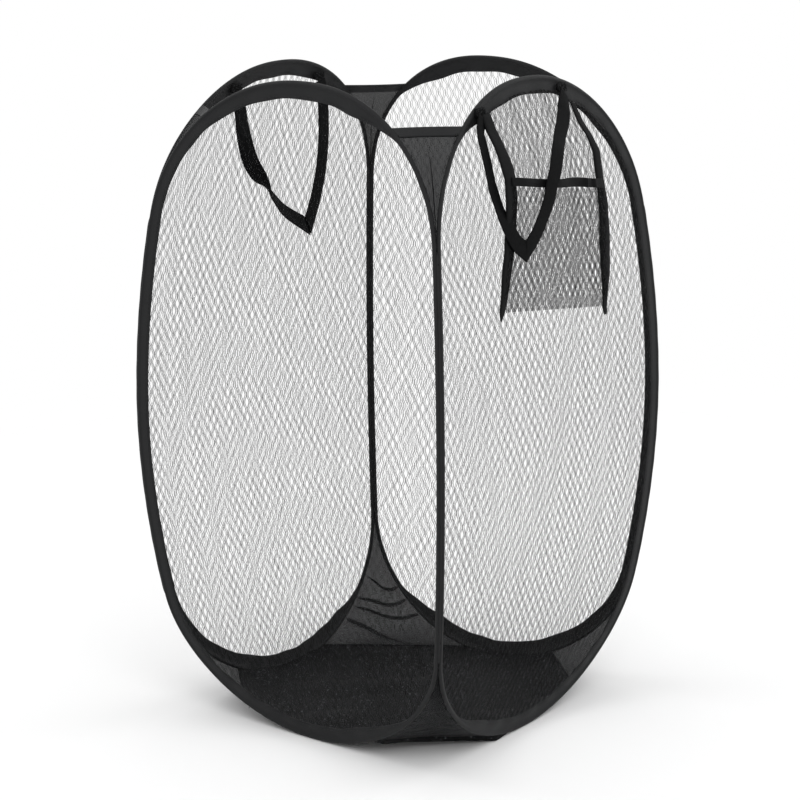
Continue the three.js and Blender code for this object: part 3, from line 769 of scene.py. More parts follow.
def between(lows, high, rows, columns, bulge, reaches=(0.0, 0.0)):
    # straight lines from the front hoop's edge to the left hoop's; bulge pushes them out of the
    # corner and shifts each point along the cloth, across and up
    rise = np.linspace(0, 1, rows)[:, None]
    share = np.linspace(0, 1, columns)[None, :]
    push, across, up = np.broadcast_arrays(*bulge(share, rise))
    share, rise = (share + across)[..., None], rise + up
    first, second = (low + (high - low) * rise for low in lows)
    near = [np.maximum(hoopEdge(z), reach) - corner["tuck"] for z, reach in zip((first, second), reaches)]
    start = np.stack([-near[0], lean(first) - halfWidth, first], axis=-1)
    end = np.stack([lean(second) - halfWidth, -near[1], second], axis=-1)
    points = start + (end - start) * share
    points[..., :2] -= push[..., None] / math.sqrt(2)
    return points


def pleat(off, size, width):
    # cloth that pushes out of its face and slides back over itself, three layers deep: a bell curve
    # for the push, and its slope for the slide
    fold = np.exp(-(off**2))
    return -0.5 * size * fold, -2.6 * width * off * fold


def topBulge(turn):
    # hollow across its middle, with a narrow upright pleat and a soft fold beside it
    def bulge(share, rise):
        bow = 4 * share * (1 - share)
        place, slant = corner["softPlace"]
        soft = ridge(share - place + slant * rise, corner["softWidth"]) * corner["softFold"]
        soft = soft * np.sqrt(rise) * (1 - rise**3)
        width = corner["pleatWidth"] + corner["pleatSpread"] * (1 - rise)
        place, slant = corner["pleatPlace"]
        off = (share - place - slant * rise + corner["pleatShift"] * turn) / width
        push, slide = pleat(off, corner["pleatSize"], width)
        fade = np.clip(rise * 6, 0, 1) * (1 - rise**4)
        return bow * (-corner["topSag"] * rise + soft) + push * fade, slide * fade, 0
    return bulge


def lowBulge(turn, depth):
    # long curved pleats that sag between the hoops
    def bulge(share, rise):
        bow = 4 * share * (1 - share)
        hang, waver, often = corner["foldSag"]
        sag = rise + hang * bow + waver * np.sin(often * share + turn)
        deep, wideCount, tallCount = corner["lowRipple"]
        hollow = corner["lowSag"] * np.sin(math.pi * rise)
        push = bow * (deep * np.sin(wideCount * share + tallCount * rise + turn) - hollow)
        slide = 0
        for start, size, width, slant, middle, reach in corner["folds"]:
            window = np.exp(-(((share - middle) / reach) ** 4)) * np.clip(bow * 5, 0, 1) * depth
            out, down = pleat((sag - start + slant * (share - middle)) / width, size, width)
            push, slide = push + out * window, slide + down * window
        # its foot lies straight along the base's edge
        foot = np.clip(rise * 12, 0, 1)
        return push * foot, 0, slide * foot
    return bulge


def cornerLabel(name):
    # front_left becomes frontLeft
    first, second = name.split("_")
    return first + second.title()


def cornerCloth(name, quarters):
    # the front left, front right and back left corners each keep their cloth whole; the back right
    # corner has no joint, so its cloth is cut along the middle and each half rides on its side
    label = cornerLabel(name)
    columns, hemFoot = corner["columns"], corner["hemTop"] - corner["hemHeight"]
    top = between([form["seamTop"] - corner["overlap"]] * 2, hemFoot, 61, columns, topBulge(quarters))
    reaches = corner["footReach"][name]
    feet = np.maximum(footHeight(np.array(reaches)) - corner["footLap"], corner["floorGap"])
    if name == "front_left":
        feet[0] = corner["floorGap"]
    folds = lowBulge(quarters, 1.0 if name == "back_right" else corner["foldsElsewhere"])
    low = between(feet, form["seamBottom"] + corner["overlap"], 201, columns, folds, reaches)
    flat = lambda share, rise: (-corner["topSag"] * 4 * share * (1 - share), 0, 0)
    hem = between([hemFoot] * 2, corner["hemTop"], 7, columns, flat)
    for kind, node, points, look, slotName, thickness in (
        ("TopGusset", "top_gusset", top, gussetCloth, "gusset_cloth", corner["thickness"]),
        ("LowGusset", "bottom_gusset", low, gussetCloth, "gusset_cloth", corner["thickness"]),
        ("TopHem", "top_hem", hem, tape, "casing_tape", corner["hemThickness"]),
    ):
        hangCloth(label + kind, turned(points, quarters), name, f"{name}_{node}", look, thickness)


cornerBodies = {
    "front_left": ("front_side", "left_side"),
    "front_right": ("right_side", "front_side"),
    "back_right": ("back_side", "right_side"),
    "back_left": ("left_side", "back_side"),
}


def hangCloth(label, points, name, node, look, thickness):
    # the corner's first hoop is at column 0 and its second at the last column
    first, second = cornerBodies[name]
    middle = points.shape[1] // 2
    if name == "back_right":
        quarters = cornerTurns[name]
        along, across = turned(np.array([[1.0, 0, 0], [0, 1.0, 0]]), quarters)
        halves = [
            (label + "Left", points[:, : middle + 1], first, along, points[:, 0]),
            (label + "Right", points[:, middle:], second, across, points[:, -1]),
        ]
    else:
        halves = [(label, points, None, None, None)]
    for title, part, body, side, edge in halves:
        piece = sheetPiece(title, part, look, thickness)
        if body:
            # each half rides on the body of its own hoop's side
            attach(piece, body)
            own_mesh(piece)
        else:
            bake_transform(piece)
        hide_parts(node)


for name, quarters in cornerTurns.items():
    cornerCloth(name, quarters)
print("corner cloth made")


# Seam tapes: a rounded tape over the notch between two casings
seam = {
    "reach": 0.0021,
    "round": 0.0008,
    "rows": 160,
    "taper": 0.006,
    "endSize": 0.05,
    "wander": 0.0002,
    "wanderCount": 230,  # how often its edges wander, as radians a metre
}


def tapeSection(half):
    # a square notch's two inner faces and a quarter circle outside; half keeps the part of one side
    reach, bend = seam["reach"], seam["round"]
    low, high = {"whole": (180, 270), "first": (225, 270), "second": (180, 225)}[half]
    angle = np.radians(np.linspace(low, high, 7))
    arc = np.stack([np.cos(angle), np.sin(angle)], axis=1) * bend
    near = [] if half == "first" else [[-bend, reach]]
    far = [] if half == "second" else [[reach, -bend]]
    return np.array([[reach, reach], *near, *arc, *far])


def seamTape(quarters, half, title):
    # rings of the section up the corner, drawn in at both ends by the root of the distance
    z = np.linspace(form["seamBottom"], form["seamTop"], seam["rows"])[:, None]
    ends = np.minimum(z - form["seamBottom"], form["seamTop"] - z) / seam["taper"]
    wander = seam["wander"] / seam["reach"] * np.sin(z * seam["wanderCount"])
    size = np.sqrt(np.clip(ends, seam["endSize"], 1)) * (1 + wander)
    section = tapeSection(half)
    notch = lean(z) - halfWidth
    x, y = notch + section[:, 0] * size, notch + section[:, 1] * size
    rings = np.stack(np.broadcast_arrays(x, y, z), axis=-1)
    return tubePiece(title, turned(rings, quarters), tape)


def seamTapes():
    # each tape is one whole piece; the back right one is two halves that ride apart
    for name, quarters in cornerTurns.items():
        label = cornerLabel(name) + "SeamTape"
        first, second = cornerBodies[name]
        if name == "back_right":
            for half, body in (("first", first), ("second", second)):
                piece = seamTape(quarters, half, label + half.title())
                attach(piece, body)
                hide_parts(f"{name}_seam_tape")
            continue
        piece = seamTape(quarters, "whole", label)
        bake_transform(piece)
        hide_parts(f"{name}_seam_tape")


seamTapes()
print("seam tapes made")


# Base: an eight-sided cloth that lies on the floor and lifts in soft wrinkles
floorCloth = {
    "lap": 0.004,  # how far above the hoop's outer edge the cloth is sewn into its casing
    "lapRun": 0.02,  # the length over which that lap runs out towards each corner
    "cornerRun": 0.03,  # the length over which the cloth comes down at the front left corner
    "inside": 0.0002,
    "bulge": 0.0008,  # how far its four short edges bow out under the gussets
    "rings": 70,
    "sideSteps": 46,
    "thickness": 0.0010,
    "wrinkle": 0.0028,
    "flat": 0.3,  # how much of the waves' height lies flat, and the height of the highest ones
    "highest": 1.7,
    # each wave: height, radians a metre across and along, then the bend of its crests
    "waves": ((1, 58, 21, 2.2, 0, 17), (0.8, -26, 37, 1.9, 23, 0), (0.35, 131, -88, 2, 41, 0)),
    "riseStart": 0.74,  # share of the way out at which the cloth starts to climb to the hoops
    "risePower": 1.7,
    "foldBand": 0.060,  # how wide a strip across the other diagonal bends when the sides fold
    "foldStrip": 0.026,  # half the width of the strip along the diagonal that flattens instead
    "closedShare": 0.33,  # how much of its depth that strip keeps when folded
    "underside": 0.0008,
    "lip": 0.0015,  # how far its edge turns up inside the casings and gussets
}


def baseBorder():
    # inside the foot of each hoop's casing, then straight across to the next one along the gusset
    steps, path = floorCloth["sideSteps"], []
    corners = list(corner["footReach"].values())
    for quarters in range(4):
        left, right = corners[quarters][0], corners[(quarters + 1) % 4][1]
        along = np.linspace(-left, right, steps)
        fromEnds = np.minimum(along + left, right - along) / floorCloth["lapRun"]
        lap = floorCloth["lap"] * np.clip(fromEnds, 0, 1)
        path.append(turned(onSide(along, footHeight(along) + lap, floorCloth["inside"]), quarters))
    lip = joinedSides(path)[:, 2] + floorCloth["lip"]
    # at the front left corner the cloth comes down to the floor beside the front hoop
    front = path[0]
    front[:, 2] *= 1 - ridge(front[:, 0] - front[0, 0], floorCloth["cornerRun"])
    return joinedSides(path), lip


def joinedSides(path):
    # the four runs along the hoops, joined by lines that bow out by half a wave
    count = floorCloth["sideSteps"] // 2
    straights = [np.linspace(path[k][-1], path[(k + 1) % 4][0], count)[1:-1] for k in range(4)]
    bow = np.sin(np.linspace(0, math.pi, count))[1:-1, None]
    for line in straights:
        line += bow * [[floorCloth["bulge"], floorCloth["bulge"], 0]] * np.sign(line.mean(axis=0))
    return np.concatenate([part for pair in zip(path, straights) for part in pair])


def baseFloor():
    # rings of points from the middle out to the border, and one more where the edge turns up
    border, lip = baseBorder()
    rings, count = floorCloth["rings"], border.shape[0]
    share = np.linspace(0, 1, rings + 1)[1:, None]
    x, y = border[:, 0] * share, border[:, 1] * share
    start, power = floorCloth["riseStart"], floorCloth["risePower"]
    climb = np.clip((share - start) / (1 - start), 0, 1) ** power
    # wrinkles are the positive part of a few waves that cross at an angle, flat at the border
    waves = sum(
        size * np.sin(wide * x + deep * y + bend * np.sin(bendWide * x + bendDeep * y))
        for size, wide, deep, bend, bendWide, bendDeep in floorCloth["waves"]
    )
    lift = np.clip(waves - floorCloth["flat"], 0, None) / floorCloth["highest"] * floorCloth["wrinkle"]
    lift = lift * np.clip((1 - share) * 6, 0, 1)
    grid = np.stack([x, y, floorCloth["underside"] + border[:, 2] * climb + lift], axis=-1)
    turnedUp = np.stack([border[:, 0], border[:, 1], floorCloth["underside"] + lip], axis=1)
    points = np.concatenate([[[0, 0, floorCloth["underside"]]], grid.reshape(-1, 3), turnedUp])
    walls = gridFaces(rings + 1, count, closedColumns=True)[:, ::-1] + 1
    column = np.arange(count)
    hub = np.stack([0 * column, 1 + column, 1 + (column + 1) % count], axis=1)

    # the diagonal from the front left to the back right corner grows when the sides fold, so the cloth
    # is cut along it: the front and right half is one piece and the left and back half another, and the
    # strip along the diagonal is four pieces, each riding on its own side
    band, strip = floorCloth["foldBand"] / math.sqrt(2), floorCloth["foldStrip"]
    blended = (("FrontRight", 1, "front_side", "right_side"), ("BackLeft", -1, "left_side", "back_side"))
    for title, hand, near, far in blended:
        piece = baseCut(title, points, (walls,), lambda across, along: across * hand > strip)
        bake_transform(piece)
    flattened = (
        ("Front", 1, -1, (0, -1, 0)),
        ("Left", -1, -1, (-1, 0, 0)),
        ("Right", 1, 1, (1, 0, 0)),
        ("Back", -1, 1, (0, 1, 0)),
    )
    for title, hand, end, axis in flattened:
        # which side of the diagonal a face lies on, and towards which end of it
        quarter = lambda across, along: ((across >= 0) == (hand > 0)) & ((along >= 0) == (end > 0))
        mine = lambda across, along: (np.abs(across) <= strip) & quarter(across, along)
        piece = baseCut(title + "Strip", points, (walls, hub), mine)
        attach(piece, title.lower() + "_side")
        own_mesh(piece)


def baseCut(title, points, faceSets, mine):
    # the faces whose middles pass the test mine, given how far they lie off the diagonal and along it
    chosen = []
    for faces in faceSets:
        centre = points[faces].mean(axis=1)
        across, along = centre[:, 0] - centre[:, 1], centre[:, 0] + centre[:, 1]
        chosen.append(faces[mine(across / math.sqrt(2), along / math.sqrt(2))])
    used, compact = np.unique(np.concatenate([faces.ravel() for faces in chosen]), return_inverse=True)
    numbers, own, area = compact.ravel(), points[used], 0.0
    lists = []
    for faces in chosen:
        part, numbers = numbers[: faces.size].reshape(faces.shape), numbers[faces.size :]
        lists += part.tolist()
        # half the cross product of a face's two diagonals is its area
        corners = own[part]
        diagonals = np.cross(corners[:, 2] - corners[:, 0], corners[:, -1] - corners[:, 1])
        area += np.linalg.norm(diagonals, axis=-1).sum() / 2
    piece = makePiece(f"clothBase{title}", own, lists, baseCloth, own[:, :2])
    solid = piece.modifiers.new("Thickness", "SOLIDIFY")
    solid.thickness = floorCloth["thickness"]
    solid.offset = 0
    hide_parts("base")
    flat = [float(np.ptp(own[:, 0] + hand * own[:, 1])) / math.sqrt(2) for hand in (-1, 1)]
    tuple(flat)
    return piece


baseFloor()
print("base made")


# Webbing handles: flat straps that hang from two sewn tabs to a folded tip
strap = {
    "width": 0.0155,
    "thickness": 0.0014,
    "legRows": 90,
    "foldReach": 0.030,  # how far up the legs the folded tip draws them askew
    "foldLimit": 0.0050,
    "tabWidth": 0.0158,
    "tabHeight": 0.0075,
    "tabThickness": 0.0013,
    "tabGap": 0.0009,
    "tabLift": 0.0003,  # how far the tab lies off its casing
    "tabRound": 0.25,  # power that squares the tab's corners
    # rings from one face of the tab to the other: depth in half thicknesses, and size
    "tabRings": ((-1, 0.9), (-0.6, 1.0), (0.6, 1.0), (1, 0.9), (1.06, 0.5)),
    "stitchLift": 0.0004,
    "stitchSpread": 0.38,  # how far the stitches run from the tab's middle, as a share of its size
    "depth": 0.0054,
}


def smoothRun(stops, count):
    # a centripetal Catmull-Rom curve through the stops, carried on past its two ends by mirroring
    stops = np.asarray(stops, float)
    stops = np.concatenate([[2 * stops[0] - stops[1]], stops, [2 * stops[-1] - stops[-2]]])
    knots = np.concatenate([[0], np.cumsum(np.linalg.norm(np.diff(stops, axis=0), axis=1) ** 0.5)])
    at = np.linspace(knots[1], knots[-2], count)
    i = np.clip(np.searchsorted(knots, at, side="right") - 1, 1, len(stops) - 3)
    t = [knots[i + k][:, None] for k in (-1, 0, 1, 2)]
    p = [stops[i + k] for k in (-1, 0, 1, 2)]
    at = at[:, None]
    mix = lambda a, b, ta, tb: ((tb - at) * a + (at - ta) * b) / (tb - ta)
    first = [mix(p[k], p[k + 1], t[k], t[k + 1]) for k in range(3)]
    second = [mix(first[k], first[k + 1], t[k], t[k + 2]) for k in range(2)]
    return spaced(mix(second[0], second[1], t[1], t[2]), count)


def strapSection():
    # a flat band with rounded edges, as shares of its half width and half thickness
    angle = np.radians(np.linspace(-90, 90, 7))
    edge = strap["thickness"] / strap["width"]
    right = np.stack([1 - edge + edge * np.cos(angle), np.sin(angle)], axis=1)
    return np.concatenate([right, -right])


def strapLeg(path, over, fold, tipFirst):
    # rings along one leg; over is how far it has turned over at each row, fold the slant of its tip
    along = np.gradient(path, axis=0)
    along /= np.linalg.norm(along, axis=1)[:, None]
    wide = np.stack([-along[:, 2], 0 * along[:, 0], along[:, 0]], axis=1)
    wide /= np.linalg.norm(wide, axis=1)[:, None]
    normal = np.cross(along, wide)
    c, s = np.cos(over)[:, None], np.sin(over)[:, None]
    wide, normal = wide * c + normal * s, normal * c - wide * s
    section = strapSection()
    across = section[:, 0] * strap["width"] / 2
    travel = np.concatenate([[0], np.cumsum(np.linalg.norm(np.diff(path, axis=0), axis=1))])
    fromTip = travel if tipFirst else travel[-1] - travel
    ramp = np.clip(1 - fromTip / strap["foldReach"], 0, 1)
    skew = np.clip(across * fold * np.sign(np.cos(over[0 if tipFirst else -1])), -strap["foldLimit"], None)
    thick = normal[:, None] * (section[:, 1:] * strap["thickness"] / 2)
    rings = path[:, None] + wide[:, None] * across[:, None] + thick
    return rings + along[:, None] * (ramp[:, None] * skew)[..., None] * (1 if tipFirst else -1)


def turnOver(stops, count):
    # degrees that a leg has turned about its own line, smoothly between stops from the tab down
    shares, degrees = zip(*stops)
    return np.radians(np.interp(np.linspace(0, 1, count), shares, degrees))


def strapPiece(name, left, right, turns):
    # two legs that meet at the tip: their inner edges run together, the outer ones are cut short
    downward, upward = left[-1] - left[-12], right[-12] - right[-1]
    bend = math.acos(np.dot(downward, upward) / np.linalg.norm(downward) / np.linalg.norm(upward))
    fold = math.tan(bend / 2) * math.copysign(1, right[0, 0] - left[0, 0])
    first = strapLeg(left, turnOver(turns[0], len(left)), fold, False)
    second = strapLeg(right[::-1], turnOver(turns[1], len(right))[::-1], fold, True)
    return tubePiece(name, np.concatenate([first, second]), webbing)


def sewnTab(across, foot, out):
    # the strap's end laid flat on the casing: rings of a rounded rectangle from face to face, which
    # a power of sine and cosine gives; out is -1 outside and 1 inside
    half = np.array([strap["tabWidth"], strap["tabThickness"], strap["tabHeight"]]) / 2
    angle = np.linspace(0, math.tau, 24, endpoint=False)
    square = np.stack([np.cos(angle), np.sin(angle)], axis=1)
    square = np.sign(square) * np.abs(square) ** strap["tabRound"]
    rings = []
    for depth, size in strap["tabRings"]:
        x = across + square[:, 0] * half[0] * size
        z = foot + half[2] + square[:, 1] * half[2] * size
        rings.append(onSide(x, z, out * (casingHalf + strap["tabLift"] + half[1] * (1 + depth))))
    return rings


def sewnTabPiece(name, rings, quarters, node, body):
    # the tab's rings joined up, turned to its side
    piece = tubePiece(name, turned(np.array(rings), quarters), webbing)
    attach(piece, body)
    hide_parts(node)


def crossStitches(name, across, foot, out, quarters, body):
    # a box of stitches with a cross in it, on the tab's face
    w, h = strap["tabWidth"] * strap["stitchSpread"], strap["tabHeight"] * strap["stitchSpread"]
    path = np.array([[-w, -h], [w, -h], [w, h], [-w, h], [-w, -h], [w, h], [w, -h], [-w, h]])
    path = spaced(path, 160)
    depth = out * (casingHalf + strap["stitchLift"] + strap["tabThickness"])
    up = foot + strap["tabHeight"] / 2 + path[:, 1]
    line = turned(onSide(across + path[:, 0], up, depth), quarters)
    normal = turned(np.broadcast_to(np.array([0.0, float(out), 0.0]), line.shape), quarters)
    row = stitchRow(name, line, normal, sewingThread)
    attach(row, body)


def handleSet(name, handle, quarters, body, loopBody, out):
    # the strap rides on the loop's body, its two tabs and their stitches on the side's
    tops = [onSide(x, foot - strap["tabGap"], out * strap["depth"]) for x, foot in handle["tabs"]]
    legs = []
    for top, stops in zip(tops, (handle["left"], handle["right"])):
        stops = [handle["at"](*stop, tops[0]) for stop in [*stops, handle["tip"]]]
        legs.append(turned(smoothRun([top, *stops], strap["legRows"]), quarters))
    piece = strapPiece(f"{name}Strap", *legs, handle["turns"])
    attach(piece, loopBody)
    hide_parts(name)
    for side, (across, foot) in zip(("left", "right"), handle["tabs"]):
        title = f"{name}{side.title()}Tab"
        sewnTabPiece(title, sewnTab(across, foot, out), quarters, f"{name}_{side}_tab", body)
        crossStitches(title + "Stitches", across, foot, out, quarters, body)


# each stop is a distance across, a height and how far it stands off the side; turns are the degrees
# that each leg has turned at shares of its length
frontLoop = {
    "tabs": ((-0.082, 0.5825), (0.047, 0.5925)),
    "tip": (-0.0642, 0.4668, 0.0205),
    "left": (
        (-0.0895, 0.571, 0.0063), (-0.0898, 0.5557, 0.0078), (-0.0893, 0.5388, 0.0093),
        (-0.0898, 0.5263, 0.0108), (-0.0884, 0.5136, 0.0125), (-0.0878, 0.5011, 0.016),
        (-0.0850, 0.4884, 0.0199), (-0.0762, 0.476, 0.0203),
    ),
    "right": (
        (0.0246, 0.5701, 0.0148), (0.0085, 0.559, 0.0203), (-0.0057, 0.5478, 0.0257),
        (-0.0179, 0.5321, 0.0287), (-0.0265, 0.5202, 0.029), (-0.0318, 0.5078, 0.0276),
        (-0.0404, 0.4931, 0.0251), (-0.0505, 0.4796, 0.0229),
    ),
    "turns": (
        ((0, 0), (0.12, -14), (0.6, -10), (0.8, 0), (1, 0)),
        ((0, 0), (0.12, -24), (0.45, -16), (0.8, 0), (1, 0)),
    ),
}
frontLoop["at"] = lambda across, z, stand, top: onSide(across, z, -stand)
backLoop = {
    "tabs": ((-0.058, 0.5865), (0.0635, 0.585)),
    "tip": (-0.0352, 0.4451, 0),
    "left": (
        (-0.0615, 0.5711, 0), (-0.0622, 0.5563, 0), (-0.0624, 0.5367, 0),
        (-0.0604, 0.5172, 0), (-0.0568, 0.4979, 0), (-0.0508, 0.4788, 0),
        (-0.045, 0.4647, 0),
    ),
    "right": (
        (0.0605, 0.5681, 0), (0.0577, 0.549, 0), (0.0534, 0.5297, 0.001),
        (0.0488, 0.5169, 0.002), (0.042, 0.5066, 0.003), (0.0322, 0.4949, 0.003),
        (0.0137, 0.4771, 0.001), (0.0006, 0.4657, 0),
    ),
    "turns": (
        ((0, 0), (1, 0)),
        ((0, 0), (0.15, -6), (0.46, -50), (0.54, -95), (0.60, -138), (0.72, -148), (1, -164)),
    ),
}
backLoop["at"] = lambda across, z, stand, top: np.array([across, top[1] + stand, z])


handleSet("front_handle", frontLoop, 0, "front_side", "front_handle_loop", -1)
handleSet("back_handle", backLoop, 2, "back_side", "back_handle_loop", 1)
print("handles made")


# Pocket: a folded net that hangs from the front casing, with a band on its rim and two bindings
pocket = {
    # heights down the pocket, and where its two edges run: across, height and stand off the side
    "levels": (0.580, 0.568, 0.555, 0.542, 0.528, 0.503, 0.482, 0.460, 0.438, 0.418, 0.407),
    "leftEdge": (
        (-0.0772, 0.5845, 0.0053), (-0.0748, 0.5709, 0.0068), (-0.0740, 0.5577, 0.0122),
        (-0.0732, 0.5443, 0.0161), (-0.0726, 0.5308, 0.0182), (-0.0743, 0.5123, 0.0184),
        (-0.0788, 0.4915, 0.0178), (-0.0831, 0.4706, 0.0166), (-0.0884, 0.4498, 0.0148),
        (-0.0918, 0.4285, 0.0124), (-0.0937, 0.4174, 0.0109),
    ),
    "rightEdge": (
        (0.0575, 0.5814, 0.0053), (0.0595, 0.5654, 0.0092), (0.0640, 0.5528, 0.0138),
        (0.0672, 0.5393, 0.0171), (0.0656, 0.5150, 0.0184), (0.0677, 0.4926, 0.0178),
        (0.0678, 0.4717, 0.0166), (0.0682, 0.4487, 0.0147), (0.0702, 0.4253, 0.0120),
        (0.0715, 0.4064, 0.0094), (0.0702, 0.3964, 0.0090),
    ),
    "lap": 0.0035,
    "mouth": 0.007,
    "back": 0.006,
    "spacing": 0.0016,
    "rimTop": 0.528,
    "rimHeight": 0.0096,
    "rimHalf": 0.0008,
    "rimRound": 0.35,  # power that squares the rim's section, and the bindings'
    "rimWander": 0.0006,
    "underRim": 0.003,  # how far the front net runs up inside the rim
    "bindingWidth": 0.0134,
    "bindingThickness": 0.0036,
    "bindingTail": 0.0080,
    "bindingRound": 0.6,
    "bindingDraw": 0.25,  # how far the tail draws inwards, for its length
    "bindingWander": 0.04,
    # heights between the binding's top, the fold and its point, and its widths at all eight, as shares
    "bindingLevels": (0.545, 0.52, 0.475, 0.45, 0.43),
    "leftWidths": (0.95, 1.15, 1.20, 1.15, 1.05, 0.85, 0.55, 0.1),
    "rightWidths": (0.50, 0.72, 0.90, 1.20, 1.15, 0.78, 0.5, 0.3),
    "pleat": 0.0014,
    "pleatCount": 9,
    "creaseDepth": 0.0035,
    # creases beside the right binding: place across at the fold, slant, width and depth
    "creases": ((0.80, 0.10, 0.035, 1), (0.64, 0.16, 0.03, 0.7)),
    "clothShare": 0.52,  # share of the net that isn't open
}
pocketTop, pocketBottom, pocketRimTop = pocket["levels"][0], pocket["levels"][-1], pocket["rimTop"]
pocketMesh = {"cellWidth": 0.0082, "cellHeight": 0.0128, "yarn": 0.00042, "twin": 0.00095, "wander": 0.0006}
pocketSize = {**net, **pocketMesh}
pocketHalf = 0.070
rimShare = (pocketRimTop - pocketBottom) / (pocketTop - pocketBottom)


def onPocket(side, z, swell):
    # side runs from -1 to 1 between the two edges, z down the pocket's levels; a point is mixed from
    # the two edges, and the top is lifted to follow the casing
    side, z = np.broadcast_arrays(np.asarray(side, float), np.asarray(z, float))
    levels = pocket["levels"][::-1]
    edges = [np.array(pocket[name])[::-1] for name in ("leftEdge", "rightEdge")]
    edges = [np.stack([np.interp(z, levels, edge[:, k]) for k in range(3)], axis=-1) for edge in edges]
    share = ((side + 1) / 2)[..., None]
    mixed = edges[0] * (1 - share) + edges[1] * share
    above = np.clip((z - pocketRimTop) / (pocketTop - pocketRimTop), 0, 1)
    ends = [pocket["leftEdge"][0][1], pocket["rightEdge"][0][1]]
    straight = ends[0] + (ends[1] - ends[0]) * (side + 1) / 2
    lift = crownHeight(mixed[..., 0]) - casing["arcWidth"] + pocket["lap"] - straight
    up = mixed[..., 1] + lift * above**1.5 * (1 - side**6)
    return onSide(mixed[..., 0], up, -(mixed[..., 2] + swell * (1 - side * side)))


def pocketSurface(front):
    # the front sheet swells to its mouth, and the back one hollows by a parabola
    def surface(across, z, out):
        side = np.clip(across / pocketHalf, -1.02, 1.02)
        rise = (z - pocketBottom) / (pocketTop - pocketBottom)
        below = rise / rimShare
        swell = pocket["mouth"] * below if front else -pocket["back"] * 4 * rise * (1 - rise)
        # the two sheets close on each other at the fold, and soft pleats fade towards it
        apart = np.clip(rise * 14, 0, 1) * pocket["spacing"] * (1 if front else -1)
        inner = np.clip(below, 0, 1)
        waves = np.sin(side * pocket["pleatCount"] + 3 * below + (0 if front else 2))
        pleats = pocket["pleat"] * waves * inner * (1 - side**4)
        if front:
            # narrow creases beside the right binding, below the rim
            crease = sum(
                deep * ridge(side - at + slant * below, width)
                for at, slant, width, deep in pocket["creases"]
            )
            pleats = pleats + pocket["creaseDepth"] * crease * inner * np.clip(2.2 * rise, 0, 1)
        point = onPocket(side, z, swell)
        point[..., 1] -= apart + out + pleats
        return point
    return surface


def pocketNets():
    # the front net reaches up into the rim band, the back one up to the casing
    inside = lambda across, z: np.abs(across) <= pocketHalf
    frontTop = pocketRimTop - pocket["rimHeight"] + pocket["underRim"]
    for title, node, front, high in (
        ("pocketFrontNet", "pocket_front_net", True, frontTop),
        ("pocketBackNet", "pocket_back_net", False, pocketTop),
    ):
        surface = pocketSurface(front)
        piece = knittedNet(title, pocketHalf, pocketBottom, high, pocketSize, inside, surface, pocketYarn)
        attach(piece, "front_side")
        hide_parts(node)


def pocketRim():
    # a folded band: rows are stations across, each a rounded flat section
    side = np.linspace(-1, 1, 90)
    angle = np.linspace(0, math.tau, 16, endpoint=False)
    squared = lambda values: np.sign(values) * np.abs(values) ** pocket["rimRound"]
    tall = pocket["rimHeight"] / 2 * squared(np.sin(angle))
    out = pocket["rimHalf"] * squared(np.cos(angle))
    wander = pocket["rimWander"] * np.sin(side * 5)[:, None]
    z = pocketRimTop - pocket["rimHeight"] / 2 + tall + wander
    surface = pocketSurface(True)
    rings = surface(np.broadcast_to(side[:, None] * pocketHalf, z.shape), z, np.broadcast_to(out, z.shape))
    piece = tubePiece("pocketRimBand", rings, binding)
    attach(piece, "front_side")
    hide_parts("pocket_rim_band")


def pocketBinding(hand, title, node, widths):
    # a folded tape down the pocket's edge: thin at its top, full below the rim, drawn to a point; past
    # the net's foot it goes straight down, and inwards by a share of how far down it is
    low, high = pocketBottom - pocket["bindingTail"], pocketTop
    z = np.linspace(high, low, 130)[:, None]
    held = np.maximum(z, pocketBottom)
    spine = onPocket(np.full_like(z, hand), held, 0.0)
    spine[..., 2] += z - held
    spine[..., 0] += pocket["bindingDraw"] * (z - held) * (-hand)
    wander = 1 + pocket["bindingWander"] * np.sin(z * 190)
    levels = [high, *pocket["bindingLevels"], pocketBottom, low]
    wide = np.interp(z, levels[::-1], widths[::-1]) * wander
    angle = np.linspace(0, math.tau, 14, endpoint=False)
    squared = lambda values: np.sign(values) * np.abs(values) ** pocket["bindingRound"]
    across = squared(np.cos(angle)) / 2 * pocket["bindingWidth"] * wide
    out = squared(np.sin(angle)) * pocket["bindingThickness"] / 2 * np.clip(wide, 0, 0.8)
    rings = np.broadcast_to(spine, (len(z), len(angle), 3)).copy()
    rings[..., 0] += across
    rings[..., 1] -= out
    piece = tubePiece(title, rings, binding)
    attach(piece, "front_side")
    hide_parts(node)


pocketNets()
pocketRim()
pocketBinding(-1, "pocketLeftBinding", "pocket_left_binding", pocket["leftWidths"])
pocketBinding(1, "pocketRightBinding", "pocket_right_binding", pocket["rightWidths"])
print("pocket made")


# Stage: pale floor, white surroundings, soft lamps, and the photograph's viewpoint
stage = {
    "floorRadius": 1.6,
    "floorFade": (0.55, 1.5),
    "floorTone": 0.95,
    "floorRoughness": 0.9,
    "floorDrop": 0.0002,
    "surround": 0.85,
    "cameraPlace": (-1.677, -1.283, 0.812),
    "cameraTarget": (0.0, 0.0, 0.305),
    "lens": 103.1,
    "sensorWidth": 36,
    "shift": (-0.0019, -0.01125),
    "roll": math.radians(0.5),
    "lamps": (
        # place, size, power
        ((-1.6, -1.9, 2.2), 1.6, 24.0),
        ((1.9, -1.2, 1.6), 1.4, 10.0),
        ((-0.6, 1.6, 2.4), 1.4, 12.0),
    ),
}


